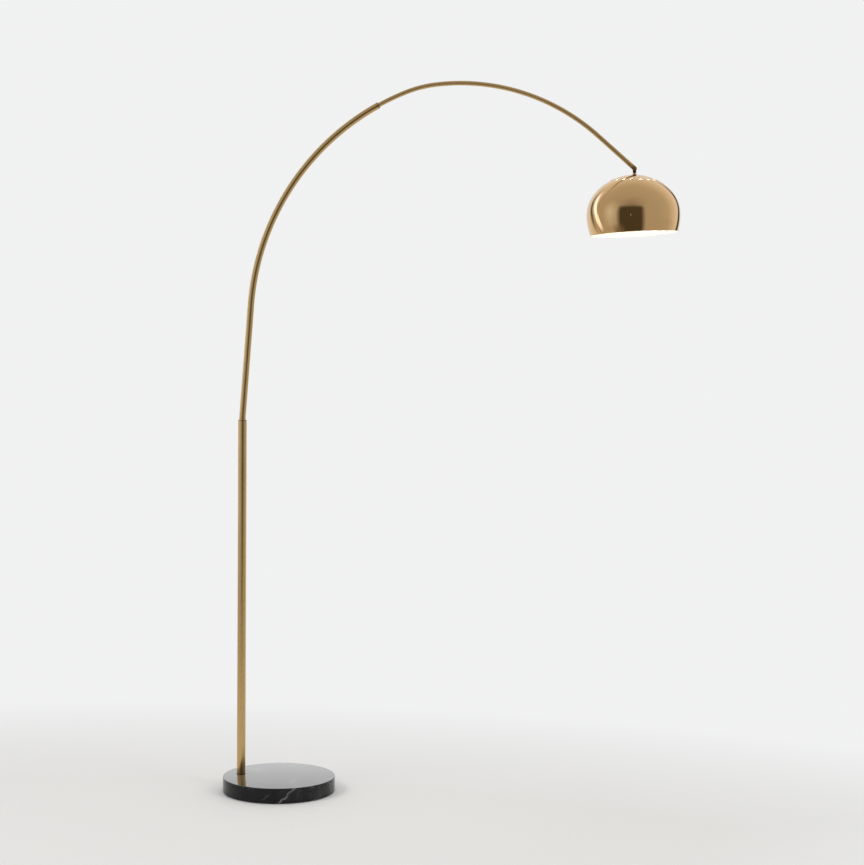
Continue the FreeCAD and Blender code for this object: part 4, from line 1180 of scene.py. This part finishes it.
def card(name, azimuth, elevation, width, height, glow, distance=4.0, edge=0.12, lean=0):
    """A studio panel that only mirror reflections see, placed by its bearing from the shade.

    The azimuth runs from the side that the camera is on, positive towards +X; the size is in
    degrees as the shade sees it, and the lean turns it in its own plane. Its edges are soft.
    """
    turn, rise = math.radians(azimuth), math.radians(elevation)
    facing = Vector((math.sin(turn) * math.cos(rise), -math.cos(turn) * math.cos(rise), math.sin(rise)))
    half_w = distance * math.tan(math.radians(width / 2))
    half_h = distance * math.tan(math.radians(height / 2))
    bm = bmesh.new()
    bmesh.ops.create_grid(bm, x_segments=2, y_segments=2, size=1.0)
    bmesh.ops.scale(bm, vec=(half_w, half_h, 1.0), verts=bm.verts)
    panel = placed(name, to_mesh(bm, name))
    panel.location = CROWN + facing * distance
    upright = (-facing).to_track_quat("Z", "Y").to_matrix().to_4x4()
    panel.rotation_euler = (upright @ spun(lean, "Z")).to_euler()
    panel.visible_camera = False
    panel.visible_diffuse = False
    panel.visible_shadow = False
    made = Material(name)
    parts = made.apart(made.place.outputs["Object"])
    masks = []
    for axis, half in (("X", half_w), ("Y", half_h)):
        size = made.sums("ABSOLUTE", parts[axis])
        masks.append(made.span(size, 1.0, 0.0, start=half * (1 - edge), end=half))
    light = made.node("Emission", Color=(*glow, 1), Strength=1.0).outputs["Emission"]
    clear = made.node("BsdfTransparent").outputs["BSDF"]
    made.surface(made.mixed(made.sums("MULTIPLY", *masks), clear, light))
    panel.data.materials.append(made.material)


def make_cards():
    """What the polished shade mirrors: the dark end of the studio and a few bright panels."""
    card("dusk", -2, 30, 76, 56, grey(0.36), distance=5.0, edge=0.95)
    card("dark_end", -3, -7, 72, 72, (0.085, 0.075, 0.06), distance=1.9, edge=0.35)
    card("dark_floor", -35, -32, 34, 36, (0.22, 0.20, 0.17), distance=1.9, edge=0.8)
    card("window", -3, -1, 3.0, 4.0, grey(0.6), distance=1.7, edge=0.8)
    card("left_strip", -103, 10, 13, 76, (2.0, 2.15, 2.9), distance=3.0, edge=0.5, lean=-32)
    card("left_shade", -122, 10, 14, 70, grey(0.14), distance=3.2, edge=0.7, lean=-32)
    card("left_panel", -56, 6, 44, 64, (0.78, 0.88, 0.98), distance=4.5, edge=0.95)
    card("right_edge", 149, 8, 18, 66, grey(0.05), distance=3.2, edge=0.6, lean=24)


def make_camera():
    """A long lens from a little below the shade's height, turned slightly round to the right."""
    data = bpy.data.cameras.new("camera")
    data.sensor_width = 36.0
    data.lens = CAMERA_LENS
    camera = placed("camera", data)
    facing = spun(CAMERA_TURN, "Z") @ spun(90 - CAMERA_DOWN, "X") @ spun(CAMERA_ROLL, "Z")
    camera.matrix_world = Matrix.Translation(CAMERA_PLACE) @ facing
    bpy.context.scene.camera = camera


# ---------------------------------------------------------------- build
make_camera()
dress_cad_nodes()
make_base()
make_tubes()
make_bushes()
make_fork()
make_tongue()
make_knuckle_screws()
make_stem()
make_cap()
make_bowl()
make_lampholder()
make_holder_ring()
make_socket()
make_bulb()
make_floor()
make_world()
make_lights()
make_cards()
bpy.context.scene.view_settings.view_transform = "Standard"
